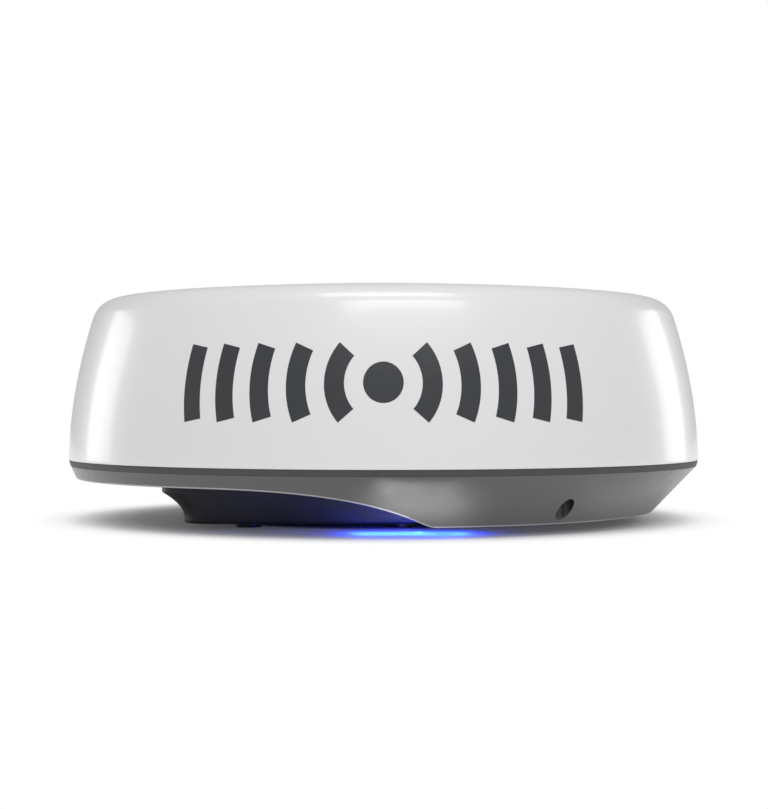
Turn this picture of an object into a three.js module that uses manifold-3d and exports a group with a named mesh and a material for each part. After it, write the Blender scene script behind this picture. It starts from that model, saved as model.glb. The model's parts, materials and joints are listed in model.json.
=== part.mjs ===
// Marine radar dome antenna, built as the separate pieces it comes apart into on a bench.
// Millimetres, +Z up. The origin is on the dome's axis, in the plane of the four mounting pads.
// +X is the full, sloping end of the lower housing, and -X is the end with the cable bay.
// Port and starboard sides (-Y and +Y) mirror each other, apart from the radome screws, the two
// sockets and the vent.

import * as THREE from 'three';
import { mergeVertices } from 'three/addons/utils/BufferGeometryUtils.js';
import Module from 'manifold-3d';

const wasm = await Module();
wasm.setup();

// ---------------------------------------------------------------- driving dimensions

const gap = 0.3; // left between pieces that touch on the real object
const roundSides = 48; // facets round the dome
const smallSides = 8; // facets round a screw

// Radome: a slightly bowed wall, a round shoulder and a nearly flat crown.
const seamHeight = 60; // lower edge of the radome above the mounting plane
const seamRadius = 308.45;
const wallLean = 0.0226; // how fast the wall leans in as it rises
const wallBow = 0.00108; // and how fast that lean grows
const shoulderRadius = 25.5;
const crownRadius = 3000;
const crownHeight = 226.5;
const radomeWall = 3.5;
const rimInner = 268; // inner edge of the radome's flange, of the gasket and of the housing's rim
const flangeThickness = 4;
const radomeBoss = { radius: 8, top: 80, holeTop: 75 };

// Lower housing: an oblique cone whose foot lies towards the cable bay.
const skirtTop = 54.3;
const skirtTopRadius = 306.4;
const skirtFoot = 10;
const skirtFootRadius = 275;
const skirtFootShift = -11;
const housingWall = 4;
const rimUnderside = 50.3;
const gasketTop = seamHeight - gap;

// Recess along each side: its ceiling is level over the cable bay and sweeps down to the foot.
const recessCeiling = 42;
const sweepStart = -150;
const sweepEnd = 40;
const sweepHandles = [[-30, recessCeiling], [10.5, 24.3]];

// Well in the housing's floor, inside the pedestal.
const well = { rear: -140, front: 60, half: 95, floor: skirtFoot + housingWall };

// Captive screws that hold the radome.
const radomeScrews = 8;
const radomeScrewCircle = 280;
const radomeScrewOffset = -11.25; // degrees
const accessBoreRadius = 7.85;
const screwSeat = 47;
const radomeScrew = { head: 5, headHeight: 4.5, shank: 1.6, end: 72 };
const radomeScrewHole = 2.25; // through the rim and the gasket, and up into the radome's bosses
const housingBossRadius = 11.5;

// Pedestal and its mounting pads.
const pedestal = { rear: -183, front: 75, half: 150, corner: 24, bottom: 4.7, wall: 4 };
const flareRise = { from: 9, to: 33, reach: 21 };
const bay = { rear: -230, front: -150, half: 60 };
const mountCentre = -54;
const mountSpacing = { x: 141.5, y: 233 };
const mountPost = { radius: 14, top: 19 };
const insert = { pad: 12, spigot: 7, bore: 3.4, top: 17 };
const pedestalScrew = { head: 4.3, face: 5.2, seat: 7.1, shank: 2, end: 13.4 };
const pedestalScrewPlaces = [[-128, -84], [48, -84], [48, 84], [-128, 84]];

// Cable bay: two inlets in the well's rear wall, a clamp across the floor and a pressure vent.
const socketHeight = 27;
const socketPlaces = { power: 24, network: -24 };
const socket = { radius: 11.5, collar: 13.5, collarDepth: 3, reach: 14, mouthDepth: 13 };
const roundMouthRadius = 8.5;
const squareMouth = { half: 7, halfHeight: 6 };
const clamp = { rear: -186, front: -172, half: 54, height: 8, saddle: 5 };
const clampScrew = { head: 4, headHeight: 2.7, shank: 2, end: 5.6 };
const clampScrewPlaces = [[-179, -46], [-179, 46]];
const vent = { place: [-150, 200], cap: 9, capHeight: 2.7, stem: 4.5, stemHeight: 8 };

// Blue accent light behind a lens in each side of the foot.
const lens = { x0: 44, x1: 60, y0: 176, y1: 236, bottom: 8.8, lip: 3, lipHeight: 1.5 };
const lightBoard = { lift: 2.2, thickness: 1.6 };

// Drive: motor pinion and antenna gear, module 2.
const gearModule = 2;
const gearTeeth = 60;
const pinionTeeth = 12;
const pinionDistance = (gearModule * (gearTeeth + pinionTeeth)) / 2;
const gearBottom = 60.3;
const gearThickness = 6;
const chassis = { bottom: 50, top: 53, radius: 132, ear: 9, centreHole: 24.4 };
const chassisScrewPlaces = [[-92, -80], [92, -80], [92, 80], [-92, 80]];
const chassisScrew = { head: 4, headHeight: 3.2, shank: 2, end: 38 };
const chassisWindows = { radius: 24, places: [[-88, 0], [-20, 92], [-20, -92]] };
const pillar = { radius: 7, holeRadius: 2.5, holeBottom: 36 };
const motor = { half: 21, corner: 4, bottom: 18.5, pilot: 11, pilotHeight: 2 };
const motorShaft = { radius: 2.5, clearance: 2.8, bottom: 44.4, top: 69, pocket: 44 };
const motorScrew = { head: 2.8, headHeight: 2.7, shank: 1.5, depth: 8, offset: 15.5 };
const bearing = { inner: 12.3, outer: 19, height: 7, lowest: 22 };
const bearingHousing = { tube: 24, flange: 38, step: 16.3, seat: 19.3, flangeTop: 57.3 };
const hub = { bore: 8, shaft: 12, flange: 30, bottom: 20 };
const retainer = { outer: 15.5, bottom: 20.3 };
const gearWindows = { count: 6, radius: 10, circle: 41 };
const stem = { foot: 18, footHeight: 3, radius: 5, top: 76 };
const cap = { radius: 16, bore: 5.6, boreTop: 78, top: 84 };
const sensor = { x0: -56, x1: -42, half: 5, top: 58.7 };

// Rotating antenna.
const turntableBottom = gearBottom + gearThickness + gap;
const turntableTop = turntableBottom + 4;
const turntable = { bore: 9, radius: 56 };
const array = { half: 262, bottom: 88, top: 184, back: -11, front: -34, panel: 3, flange: 9 };
const arrayBoard = { margin: 6, thickness: 3 };
const coverSkin = 2;
const bracket = { inside: 46, thickness: 4, reach: 56, shoulder: [22, 104], top: 152 };
const weight = { half: 30, near: 38, far: 62, height: 18, chamfer: 6 };
const transceiver = { half: 38, bottom: 98, top: 168, depth: 18 };

// Electronics in the housing.
const mainBoard = { x0: 106, x1: 236, half: 84, bottom: 24, thickness: 1.6 };
const powerShield = { x0: 116, x1: 186, y0: -60, y1: 30, height: 18 };
const shieldSkin = 1;

// ---------------------------------------------------------------- solids

function toSolid(geometry) {
  const bare = geometry.clone();
  bare.deleteAttribute('normal');
  bare.deleteAttribute('uv');
  const merged = mergeVertices(bare, 1e-4);
  const corners = merged.index.array;
  const triVerts = [];
  for (let i = 0; i < corners.length; i += 3) {
    const [a, b, c] = [corners[i], corners[i + 1], corners[i + 2]];
    if (a !== b && b !== c && c !== a) triVerts.push(a, b, c);
  }
  return new wasm.Manifold(new wasm.Mesh({
    numProp: 3,
    vertProperties: new Float32Array(merged.attributes.position.array),
    triVerts: new Uint32Array(triVerts),
  }));
}

function toGeometry(solid) {
  const { vertProperties, triVerts } = solid.getMesh();
  const geometry = new THREE.BufferGeometry();
  geometry.setAttribute('position', new THREE.BufferAttribute(vertProperties.slice(), 3));
  geometry.setIndex(new THREE.BufferAttribute(triVerts.slice(), 1));
  geometry.computeVertexNormals();
  return geometry;
}

const X = new THREE.Vector3(1, 0, 0);
const Y = new THREE.Vector3(0, 1, 0);
const Z = new THREE.Vector3(0, 0, 1);

function block(x0, x1, y0, y1, z0, z1) {
  const geometry = new THREE.BoxGeometry(x1 - x0, y1 - y0, z1 - z0);
  return toSolid(geometry.translate((x0 + x1) / 2, (y0 + y1) / 2, (z0 + z1) / 2));
}

function post(radius, bottom, top, x = 0, y = 0, sides = 24) {
  const geometry = new THREE.CylinderGeometry(radius, radius, top - bottom, sides);
  return toSolid(geometry.rotateX(Math.PI / 2).translate(x, y, (bottom + top) / 2));
}

// A cylinder lying along X.
function peg(radius, x0, x1, y, z, sides = 24) {
  const geometry = new THREE.CylinderGeometry(radius, radius, x1 - x0, sides);
  return toSolid(geometry.rotateZ(Math.PI / 2).translate((x0 + x1) / 2, y, z));
}

// Turns an outline of [radius, height] points about the dome's axis.
function turned(outline, sides = 48) {
  const points = outline.map(([radius, height]) => new THREE.Vector2(radius, height));
  return toSolid(new THREE.LatheGeometry(points, sides).rotateX(Math.PI / 2));
}

// A ring with a rectangular section.
function ring(inner, outer, bottom, top, sides = 48) {
  return turned([[inner, bottom], [outer, bottom], [outer, top], [inner, top], [inner, bottom]], sides);
}

function outlineOf(points) {
  return new THREE.Shape(points.map(([u, v]) => new THREE.Vector2(u, v)));
}

// Extrudes a shape drawn in the XY plane between two heights.
function plate(shape, bottom, top, curveSegments = 8) {
  const depth = top - bottom;
  const geometry = new THREE.ExtrudeGeometry(shape, { depth, bevelEnabled: false, curveSegments });
  return toSolid(geometry.translate(0, 0, bottom));
}

// Extrudes a shape drawn in the XZ plane across the width, from y0 to y1.
function acrossWidth(shape, y0, y1, curveSegments = 14) {
  const options = { depth: y1 - y0, bevelEnabled: false, curveSegments };
  const geometry = new THREE.ExtrudeGeometry(shape, options);
  geometry.applyMatrix4(new THREE.Matrix4().makeBasis(X, Z, Y.clone().negate()));
  return toSolid(geometry.translate(0, y1, 0));
}

// Extrudes a shape drawn in the YZ plane along X, from x0 to x1.
function alongLength(shape, x0, x1) {
  const geometry = new THREE.ExtrudeGeometry(shape, { depth: x1 - x0, bevelEnabled: false });
  geometry.applyMatrix4(new THREE.Matrix4().makeBasis(Y, Z, X));
  return toSolid(geometry.translate(x0, 0, 0));
}

function roundedRectangle(x0, x1, y0, y1, radius) {
  const shape = new THREE.Shape();
  shape.moveTo(x0 + radius, y0);
  shape.lineTo(x1 - radius, y0);
  shape.absarc(x1 - radius, y0 + radius, radius, -Math.PI / 2, 0);
  shape.lineTo(x1, y1 - radius);
  shape.absarc(x1 - radius, y1 - radius, radius, 0, Math.PI / 2);
  shape.lineTo(x0 + radius, y1);
  shape.absarc(x0 + radius, y1 - radius, radius, Math.PI / 2, Math.PI);
  shape.lineTo(x0, y0 + radius);
  shape.absarc(x0 + radius, y0 + radius, radius, Math.PI, 1.5 * Math.PI);
  return shape;
}

function cutAll(solid, cutters) {
  return cutters.reduce((left, cutter) => left.subtract(cutter), solid);
}

function joinAll(solids) {
  return solids.reduce((whole, next) => whole.add(next));
}

// ---------------------------------------------------------------- the assembly

const antenna = new THREE.Group();
antenna.name = 'radar_dome_antenna';

function finish(color, roughness, metalness = 0) {
  return new THREE.MeshStandardMaterial({ color, roughness, metalness });
}

const finishes = {
  gelcoat: finish(0xeef0f2, 0.28),
  silverPaint: finish(0x8f9193, 0.42, 0.2),
  blackCasting: finish(0x1d1f22, 0.5, 0.3),
  rubber: finish(0x4b4d4f, 0.8),
  stainless: finish(0xb4b6b8, 0.3, 1),
  aluminium: finish(0xaeb1b5, 0.4, 1),
  circuitBoard: finish(0x1f4a35, 0.55),
  tinplate: finish(0xc2c4c6, 0.3, 1),
  blackPlastic: finish(0x161718, 0.55),
  acetal: finish(0xe4e0d2, 0.5),
  coverPlastic: finish(0xd8dadc, 0.45),
  blueLens: new THREE.MeshStandardMaterial({ color: 0x1f3cff, emissive: 0x1228ff, roughness: 0.2 }),
};

function add(name, solid, material, place = [0, 0, 0]) {
  const mesh = new THREE.Mesh(toGeometry(solid), material);
  mesh.name = name;
  mesh.position.set(...place);
  antenna.add(mesh);
}

// Calls make(place, number) for each place, numbering from 1.
function addEach(places, make) {
  places.forEach((place, index) => make(place, index + 1));
}

const radomeScrewPlaces = Array.from({ length: radomeScrews }, (_, index) => {
  const turn = THREE.MathUtils.degToRad(radomeScrewOffset + (index * 360) / radomeScrews);
  return [radomeScrewCircle * Math.cos(turn), radomeScrewCircle * Math.sin(turn)];
});

const mountPlaces = [[-1, -1], [1, -1], [1, 1], [-1, 1]].map(([sideX, sideY]) => [
  mountCentre + (sideX * mountSpacing.x) / 2,
  (sideY * mountSpacing.y) / 2,
]);

// ---------------------------------------------------------------- radome and its seal

// The radome's section at a depth below its outer skin, from the seam or a given height up to
// the axis. The shoulder's centre keeps its radius from both the wall and the crown.
function domeOutline(depth, startHeight, steps) {
  const wallRadius = (rise) => seamRadius - wallLean * rise - wallBow * rise * rise;
  const crownCentre = crownHeight - crownRadius;
  const centreFor = (rise) => {
    const lean = Math.atan(wallLean + 2 * wallBow * rise);
    return {
      lean,
      radius: wallRadius(rise) - shoulderRadius * Math.cos(lean),
      height: seamHeight + rise - shoulderRadius * Math.sin(lean),
    };
  };
  let [low, high] = [0, crownHeight - seamHeight];
  for (let pass = 0; pass < 40; pass += 1) {
    const middle = (low + high) / 2;
    const centre = centreFor(middle);
    const reach = Math.hypot(centre.radius, centre.height - crownCentre);
    if (reach < crownRadius - shoulderRadius) low = middle;
    else high = middle;
  }
  const centre = centreFor(low);
  const crownLean = Math.atan2(centre.height - crownCentre, centre.radius);
  const points = [];
  for (let i = 0; i < steps.wall; i += 1) {
    const start = startHeight - seamHeight;
    const rise = start + ((low - start) * i) / steps.wall;
    points.push([wallRadius(rise) - depth, seamHeight + rise]);
  }
  for (let i = 0; i <= steps.shoulder; i += 1) {
    const angle = THREE.MathUtils.lerp(centre.lean, crownLean, i / steps.shoulder);
    const reach = shoulderRadius - depth;
    points.push([centre.radius + reach * Math.cos(angle), centre.height + reach * Math.sin(angle)]);
  }
  const topRadius = crownRadius - depth;
  for (let i = 1; i <= steps.crown; i += 1) {
    const angle = THREE.MathUtils.lerp(crownLean, Math.PI / 2, i / steps.crown);
    const radius = i === steps.crown ? 0 : topRadius * Math.cos(angle);
    points.push([radius, crownCentre + topRadius * Math.sin(angle)]);
  }
  return points;
}

function makeRadome() {
  const flangeTop = seamHeight + flangeThickness;
  const steps = { wall: 3, shoulder: 4, crown: 3 };
  const inside = domeOutline(radomeWall, flangeTop, steps).reverse();
  const outside = domeOutline(0, seamHeight, steps);
  const flange = [[rimInner, flangeTop], [rimInner, seamHeight]];
  const shell = turned([...inside, ...flange, ...outside], roundSides);
  const { radius, top, holeTop } = radomeBoss;
  const bosses = radomeScrewPlaces.map(([x, y]) => post(radius, flangeTop - 1, top, x, y, 10));
  const holes = radomeScrewPlaces.map(([x, y]) => post(radomeScrewHole, seamHeight - 1, holeTop, x, y, 6));
  add('radome', cutAll(joinAll([shell, ...bosses]), holes), finishes.gelcoat);
}

function makeGasket() {
  const bottom = skirtTop + gap;
  const section = [
    [rimInner, bottom], [skirtTopRadius, bottom], [seamRadius, gasketTop], [rimInner, gasketTop],
    [rimInner, bottom],
  ];
  const holes = radomeScrewPlaces.map(([x, y]) => post(radomeScrewHole, skirtTop, seamHeight, x, y, 6));
  add('rim_gasket', cutAll(turned(section, roundSides), holes), finishes.rubber);
}

// A screw pointing up: its head between face and seat, then its shank up to end.
function screwUp({ head, shank, face, seat, end }) {
  return turned([[0, face], [head, face], [head, seat], [shank, seat], [shank, end], [0, end]], smallSides);
}

// A screw pointing down from a head that rests at seat.
function screwDown({ head, headHeight, shank, end }, seat) {
  const top = seat + headHeight;
  return turned([[0, end], [shank, end], [shank, seat], [head, seat], [head, top], [0, top]], smallSides);
}

function makeRadomeScrews() {
  const screw = screwUp({ ...radomeScrew, face: screwSeat - radomeScrew.headHeight, seat: screwSeat });
  addEach(radomeScrewPlaces, ([x, y], number) => {
    add(`radome_screw_${number}`, screw, finishes.stainless, [x, y, 0]);
  });
}

// ---------------------------------------------------------------- lower housing

// The oblique cone of the skirt, between two heights and drawn in by inset.
function skirtCone(bottom, top, inset) {
  const growth = (skirtTopRadius - skirtFootRadius) / (skirtTop - skirtFoot);
  const shift = -skirtFootShift / (skirtTop - skirtFoot);
  const radiusAt = (height) => skirtFootRadius - inset + growth * (height - skirtFoot);
  const cone = new THREE.CylinderGeometry(radiusAt(top), radiusAt(bottom), top - bottom, roundSides);
  cone.rotateX(Math.PI / 2).translate(0, 0, (bottom + top) / 2);
  cone.applyMatrix4(new THREE.Matrix4().makeShear(0, 0, 0, 0, shift, 0));
  return toSolid(cone.translate(-shift * skirtTop, 0, 0));
}

// Everything below the recess ceiling, raised or lowered by lift, across the whole width.
function belowCeiling(lift, half = 330) {
  const shape = new THREE.Shape();
  const [[u1, v1], [u2, v2]] = sweepHandles;
  shape.moveTo(-340, -20);
  shape.lineTo(340, -20);
  shape.lineTo(340, skirtFoot + lift);
  shape.lineTo(sweepEnd, skirtFoot + lift);
  shape.bezierCurveTo(u2, v2 + lift, u1, v1 + lift, sweepStart, recessCeiling + lift);
  shape.lineTo(-340, recessCeiling + lift);
  return acrossWidth(shape, -half, half);
}

// The well's block, grown by a wall's thickness, up to a given top.
function wellBlock(grow, top) {
  const { rear, front, half, floor } = well;
  return block(rear - grow, front + grow, -half - grow, half + grow, floor - grow, top);
}

function makeLowerHousing() {
  const cavityInset = 5; // the skirt's wall, measured level
  const outside = skirtCone(skirtFoot, skirtTop, 0).subtract(belowCeiling(0))
    .add(wellBlock(housingWall, rimUnderside));
  const cavity = skirtCone(well.floor, rimUnderside, cavityInset).subtract(belowCeiling(housingWall))
    .add(wellBlock(0, rimUnderside));
  const mouth = post(rimInner, rimUnderside - 1, skirtTop + 1, 0, 0, roundSides);
  const bosses = joinAll(radomeScrewPlaces.map(([x, y]) => (
    post(housingBossRadius, skirtFoot, rimUnderside + 1, x, y, 12))));
  const pillars = chassisScrewPlaces.map(([x, y]) => (
    post(pillar.radius, well.floor - 1, chassis.bottom - gap, x, y, 10)));
  const shell = joinAll([outside.subtract(cavity).subtract(mouth), bosses.intersect(outside), ...pillars]);
  const ceilingTop = recessCeiling + housingWall;
  const cutters = [
    ...radomeScrewPlaces.map(([x, y]) => post(accessBoreRadius, 0, screwSeat + gap, x, y, 14)),
    ...radomeScrewPlaces.map(([x, y]) => post(radomeScrewHole, screwSeat, skirtTop + 1, x, y, 6)),
    ...chassisScrewPlaces.map(([x, y]) => (
      post(pillar.holeRadius, pillar.holeBottom, chassis.bottom, x, y, 6))),
    ...pedestalScrewPlaces.map(([x, y]) => post(pillar.holeRadius, 0, well.floor + 1, x, y, 6)),
    ...Object.values(socketPlaces).map((y) => (
      peg(socket.radius + gap, well.rear - 9, well.rear + 5, y, socketHeight, 20))),
    ...[-1, 1].map((side) => lensBlock(side, gap, 0, well.floor + 1)),
    post(vent.stem + gap, recessCeiling - 1, ceilingTop + 1, ...vent.place, 12),
  ];
  add('lower_housing', cutAll(shell, cutters), finishes.silverPaint);
}

// ---------------------------------------------------------------- accent lights

function lensBlock(side, grow, bottom, top) {
  const [y0, y1] = side > 0 ? [lens.y0, lens.y1] : [-lens.y1, -lens.y0];
  return block(lens.x0 - grow, lens.x1 + grow, y0 - grow, y1 + grow, bottom, top);
}

function makeAccentLights() {
  const sides = { starboard: 1, port: -1 };
  const lipBottom = well.floor + gap;
  const boardBottom = well.floor + lightBoard.lift;
  for (const [label, side] of Object.entries(sides)) {
    const body = lensBlock(side, 0, lens.bottom, lipBottom);
    const lip = lensBlock(side, lens.lip, lipBottom, lipBottom + lens.lipHeight);
    add(`accent_lens_${label}`, body.add(lip), finishes.blueLens);
    const board = lensBlock(side, 1, boardBottom, boardBottom + lightBoard.thickness);
    add(`light_board_${label}`, board, finishes.circuitBoard);
  }
}

// ---------------------------------------------------------------- pedestal

// A rounded outline raised between two heights, whose rear half flares out in a hollow curve.
function flaredBody(inset, bottom, top) {
  const shape = roundedRectangle(pedestal.rear + inset, pedestal.front - inset,
    -pedestal.half + inset, pedestal.half - inset, pedestal.corner - inset);
  const options = { depth: top - bottom, steps: 5, bevelEnabled: false, curveSegments: 4 };
  const geometry = new THREE.ExtrudeGeometry(shape, options).translate(0, 0, bottom);
  const spot = geometry.attributes.position;
  const rearReach = mountCentre - pedestal.rear - inset;
  for (let i = 0; i < spot.count; i += 1) {
    const rise = (spot.getZ(i) - flareRise.from) / (flareRise.to - flareRise.from);
    const flare = flareRise.reach * THREE.MathUtils.clamp(rise, 0, 1) ** 2;
    const share = Math.max(0, (mountCentre - spot.getX(i)) / rearReach);
    spot.setX(i, spot.getX(i) - flare * share);
  }
  return toSolid(geometry);
}

function makePedestal() {
  const underHousing = belowCeiling(-gap);
  const above = recessCeiling + 2; // clear of everything below the ceiling
  const floorTop = pedestal.bottom + pedestal.wall;
  const outside = flaredBody(0, pedestal.bottom, recessCeiling + 1).intersect(underHousing);
  const hollow = flaredBody(pedestal.wall, floorTop, above);
  const posts = mountPlaces.map(([x, y]) => post(mountPost.radius, pedestal.bottom, mountPost.top, x, y, 12));
  const bayRoom = block(bay.rear, bay.front, -bay.half, bay.half, floorTop, above);
  const shell = outside.subtract(hollow).subtract(bayRoom).add(joinAll(posts).intersect(underHousing));
  const wellRoom = wellBlock(housingWall + gap, recessCeiling);
  const { head, seat } = pedestalScrew;
  const cutters = [
    ...mountPlaces.map(([x, y]) => post(insert.spigot + 0.5, 0, insert.top + gap, x, y, 12)),
    ...pedestalScrewPlaces.map(([x, y]) => post(head + 0.5, 0, seat + gap, x, y, 10)),
    ...pedestalScrewPlaces.map(([x, y]) => post(pillar.holeRadius, seat, floorTop + 1, x, y, 6)),
    ...clampScrewPlaces.map(([x, y]) => post(clampScrew.shank + gap, 0, floorTop + 1, x, y, 8)),
  ];
  add('pedestal_base', cutAll(shell.subtract(wellRoom), cutters), finishes.blackCasting);
}

function makePedestalFasteners() {
  const { pad, spigot, bore, top } = insert;
  const shoulder = pedestal.bottom - gap;
  const threaded = turned([
    [bore, 0], [pad, 0], [pad, shoulder], [spigot, shoulder], [spigot, top], [bore, top], [bore, 0],
  ], 16);
  addEach(mountPlaces, ([x, y], number) => {
    add(`mount_insert_${number}`, threaded, finishes.blackCasting, [x, y, 0]);
  });
  addEach(pedestalScrewPlaces, ([x, y], number) => {
    add(`pedestal_screw_${number}`, screwUp(pedestalScrew), finishes.stainless, [x, y, 0]);
  });
}

// ---------------------------------------------------------------- cable bay

// A round inlet in the well's rear wall, its mouth hollow and its axis along X.
function makeSocket(name, y, mouth) {
  const wallFace = well.rear - housingWall - gap;
  const collar = peg(socket.collar, wallFace - socket.collarDepth, wallFace, y, socketHeight, 20);
  const barrel = peg(socket.radius, wallFace - socket.reach, well.rear + 6, y, socketHeight, 20);
  add(name, collar.add(barrel).subtract(mouth), finishes.blackPlastic);
}

function makeCableBay() {
  const front = well.rear - housingWall - socket.reach - 1;
  const back = front + socket.mouthDepth;
  const { power, network } = socketPlaces;
  const { half, halfHeight } = squareMouth;
  makeSocket('power_socket', power, peg(roundMouthRadius, front, back, power, socketHeight, 20));
  makeSocket('network_socket', network, block(front, back, network - half, network + half,
    socketHeight - halfHeight, socketHeight + halfHeight));

  const floor = pedestal.bottom + pedestal.wall + gap;
  const clampTop = floor + clamp.height;
  const bar = block(clamp.rear, clamp.front, -clamp.half, clamp.half, floor, clampTop);
  const saddles = Object.values(socketPlaces).map((y) => (
    peg(clamp.saddle, clamp.rear - 4, clamp.front + 4, y, clampTop, 16)));
  const holes = clampScrewPlaces.map(([x, y]) => (
    post(clampScrew.shank + gap, floor - 1, clampTop + 1, x, y, 8)));
  add('cable_clamp', cutAll(bar, [...saddles, ...holes]), finishes.blackPlastic);
  addEach(clampScrewPlaces, ([x, y], number) => {
    add(`clamp_screw_${number}`, screwDown(clampScrew, clampTop + gap), finishes.stainless, [x, y, 0]);
  });

  const capTop = recessCeiling - gap;
  const capBottom = capTop - vent.capHeight;
  const stemTop = recessCeiling + vent.stemHeight;
  const plug = turned([
    [0, capBottom], [vent.cap, capBottom], [vent.cap, capTop], [vent.stem, capTop], [vent.stem, stemTop],
    [0, stemTop],
  ], 16);
  add('pressure_vent', plug, finishes.blackPlastic, [...vent.place, 0]);
}

// ---------------------------------------------------------------- drive

// A gear's outline: straight-flanked teeth, narrowed a little so that a pair runs with backlash.
// With toothFirst, a tooth points along turn; otherwise a gap between teeth does.
function gearShape(teeth, toothFirst, turn) {
  const pitchRadius = (gearModule * teeth) / 2;
  const tip = pitchRadius + 0.9 * gearModule;
  const root = pitchRadius - 1.2 * gearModule;
  const pitch = (2 * Math.PI) / teeth;
  const start = turn + (toothFirst ? 0 : pitch / 2);
  const [rootShare, tipShare] = [0.33, 0.11]; // half a tooth's width, as a share of the pitch
  const flanks = [[root, -rootShare], [tip, -tipShare], [tip, tipShare], [root, rootShare]];
  const points = [];
  for (let tooth = 0; tooth < teeth; tooth += 1) {
    const middle = start + tooth * pitch;
    for (const [radius, share] of flanks) {
      const angle = middle + share * pitch;
      points.push([radius * Math.cos(angle), radius * Math.sin(angle)]);
    }
  }
  return outlineOf(points);
}

const motorScrewPlaces = [-1, 1].map((side) => [
  pinionDistance + side * motorScrew.offset, side * motorScrew.offset,
]);

function makeChassis() {
  const { bottom, top, radius, ear, centreHole } = chassis;
  const disc = post(radius, bottom, top, 0, 0, 48);
  const ears = chassisScrewPlaces.map(([x, y]) => post(ear, bottom, top, x, y, 16));
  const through = (size, [x, y], sides) => post(size, bottom - 1, top + 1, x, y, sides);
  const cutters = [
    through(centreHole, [0, 0], 32),
    through(motor.pilot + 0.4, [pinionDistance, 0], 20),
    ...motorScrewPlaces.map((place) => through(motorScrew.shank + 0.5, place, 8)),
    ...chassisScrewPlaces.map((place) => through(chassisScrew.shank + 0.4, place, 8)),
    ...chassisWindows.places.map((place) => through(chassisWindows.radius, place, 20)),
  ];
  add('chassis_plate', cutAll(joinAll([disc, ...ears]), cutters), finishes.aluminium);
  addEach(chassisScrewPlaces, ([x, y], number) => {
    add(`chassis_screw_${number}`, screwDown(chassisScrew, top + gap), finishes.stainless, [x, y, 0]);
  });
}

function makeMotor() {
  const { half, corner, bottom, pilot, pilotHeight } = motor;
  const { radius, clearance, pocket } = motorShaft;
  const top = chassis.bottom - gap;
  const inner = half - corner;
  const outline = outlineOf([
    [-half, -inner], [-inner, -half], [inner, -half], [half, -inner],
    [half, inner], [inner, half], [-inner, half], [-half, inner],
  ]);
  const body = plate(outline, bottom, top).add(post(pilot, top - 1, top + pilotHeight, 0, 0, 20))
    .translate([pinionDistance, 0, 0]);
  const cutters = [
    post(clearance, pocket, top + pilotHeight + 1, pinionDistance, 0, 16),
    ...motorScrewPlaces.map(([x, y]) => (
      post(motorScrew.shank + gap, top - motorScrew.depth - 1, top + 1, x, y, 8))),
  ];
  add('motor_body', cutAll(body, cutters), finishes.blackCasting);
  const shaft = post(radius, motorShaft.bottom, motorShaft.top, 0, 0, 16);
  add('motor_shaft', shaft, finishes.stainless, [pinionDistance, 0, 0]);
  const pinionBottom = gearBottom - 1.3;
  const pinionTop = gearBottom + gearThickness + 1.5;
  const pinion = plate(gearShape(pinionTeeth, true, Math.PI), pinionBottom, pinionTop)
    .subtract(post(clearance, pinionBottom - 1, pinionTop + 1, 0, 0, 16));
  add('motor_pinion', pinion, finishes.stainless, [pinionDistance, 0, 0]);
  const screw = screwDown({ ...motorScrew, end: top - motorScrew.depth }, chassis.top + gap);
  addEach(motorScrewPlaces, ([x, y], number) => {
    add(`motor_screw_${number}`, screw, finishes.stainless, [x, y, 0]);
  });
}

function makeBearings() {
  const { inner, outer, height, lowest } = bearing;
  const { tube, flange, step, seat, flangeTop } = bearingHousing;
  const lowerStep = lowest + height + gap;
  const upperStep = flangeTop - height - gap;
  const flangeBottom = chassis.top + gap;
  const housing = turned([
    [step, lowerStep], [seat, lowerStep], [seat, lowest], [tube, lowest], [tube, flangeBottom],
    [flange, flangeBottom], [flange, flangeTop], [seat, flangeTop], [seat, upperStep], [step, upperStep],
    [step, lowerStep],
  ], 32);
  add('bearing_housing', housing, finishes.aluminium);
  add('lower_bearing', ring(inner, outer, lowest, lowest + height, 24), finishes.stainless);
  add('upper_bearing', ring(inner, outer, flangeTop - height, flangeTop, 24), finishes.stainless);
  const hubFlange = flangeTop + gap;
  const hubTop = gearBottom - gap;
  const shaft = turned([
    [hub.bore, hub.bottom], [hub.shaft, hub.bottom], [hub.shaft, hubFlange], [hub.flange, hubFlange],
    [hub.flange, hubTop], [hub.bore, hubTop], [hub.bore, hub.bottom],
  ], 24);
  add('hub_shaft', shaft, finishes.stainless);
  add('retaining_ring', ring(inner, retainer.outer, retainer.bottom, lowest - gap, 20), finishes.stainless);
}

function makeGear() {
  const disc = plate(gearShape(gearTeeth, false, 0), gearBottom, gearBottom + gearThickness);
  const { count, radius, circle } = gearWindows;
  const windows = Array.from({ length: count }, (_, index) => {
    const turn = (index * 2 * Math.PI) / count;
    const [x, y] = [circle * Math.cos(turn), circle * Math.sin(turn)];
    return post(radius, gearBottom - 1, turntableBottom, x, y, 10);
  });
  const bore = post(14, gearBottom - 1, turntableBottom, 0, 0, 24);
  add('drive_gear', cutAll(disc, [bore, ...windows]), finishes.acetal);
}

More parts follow.
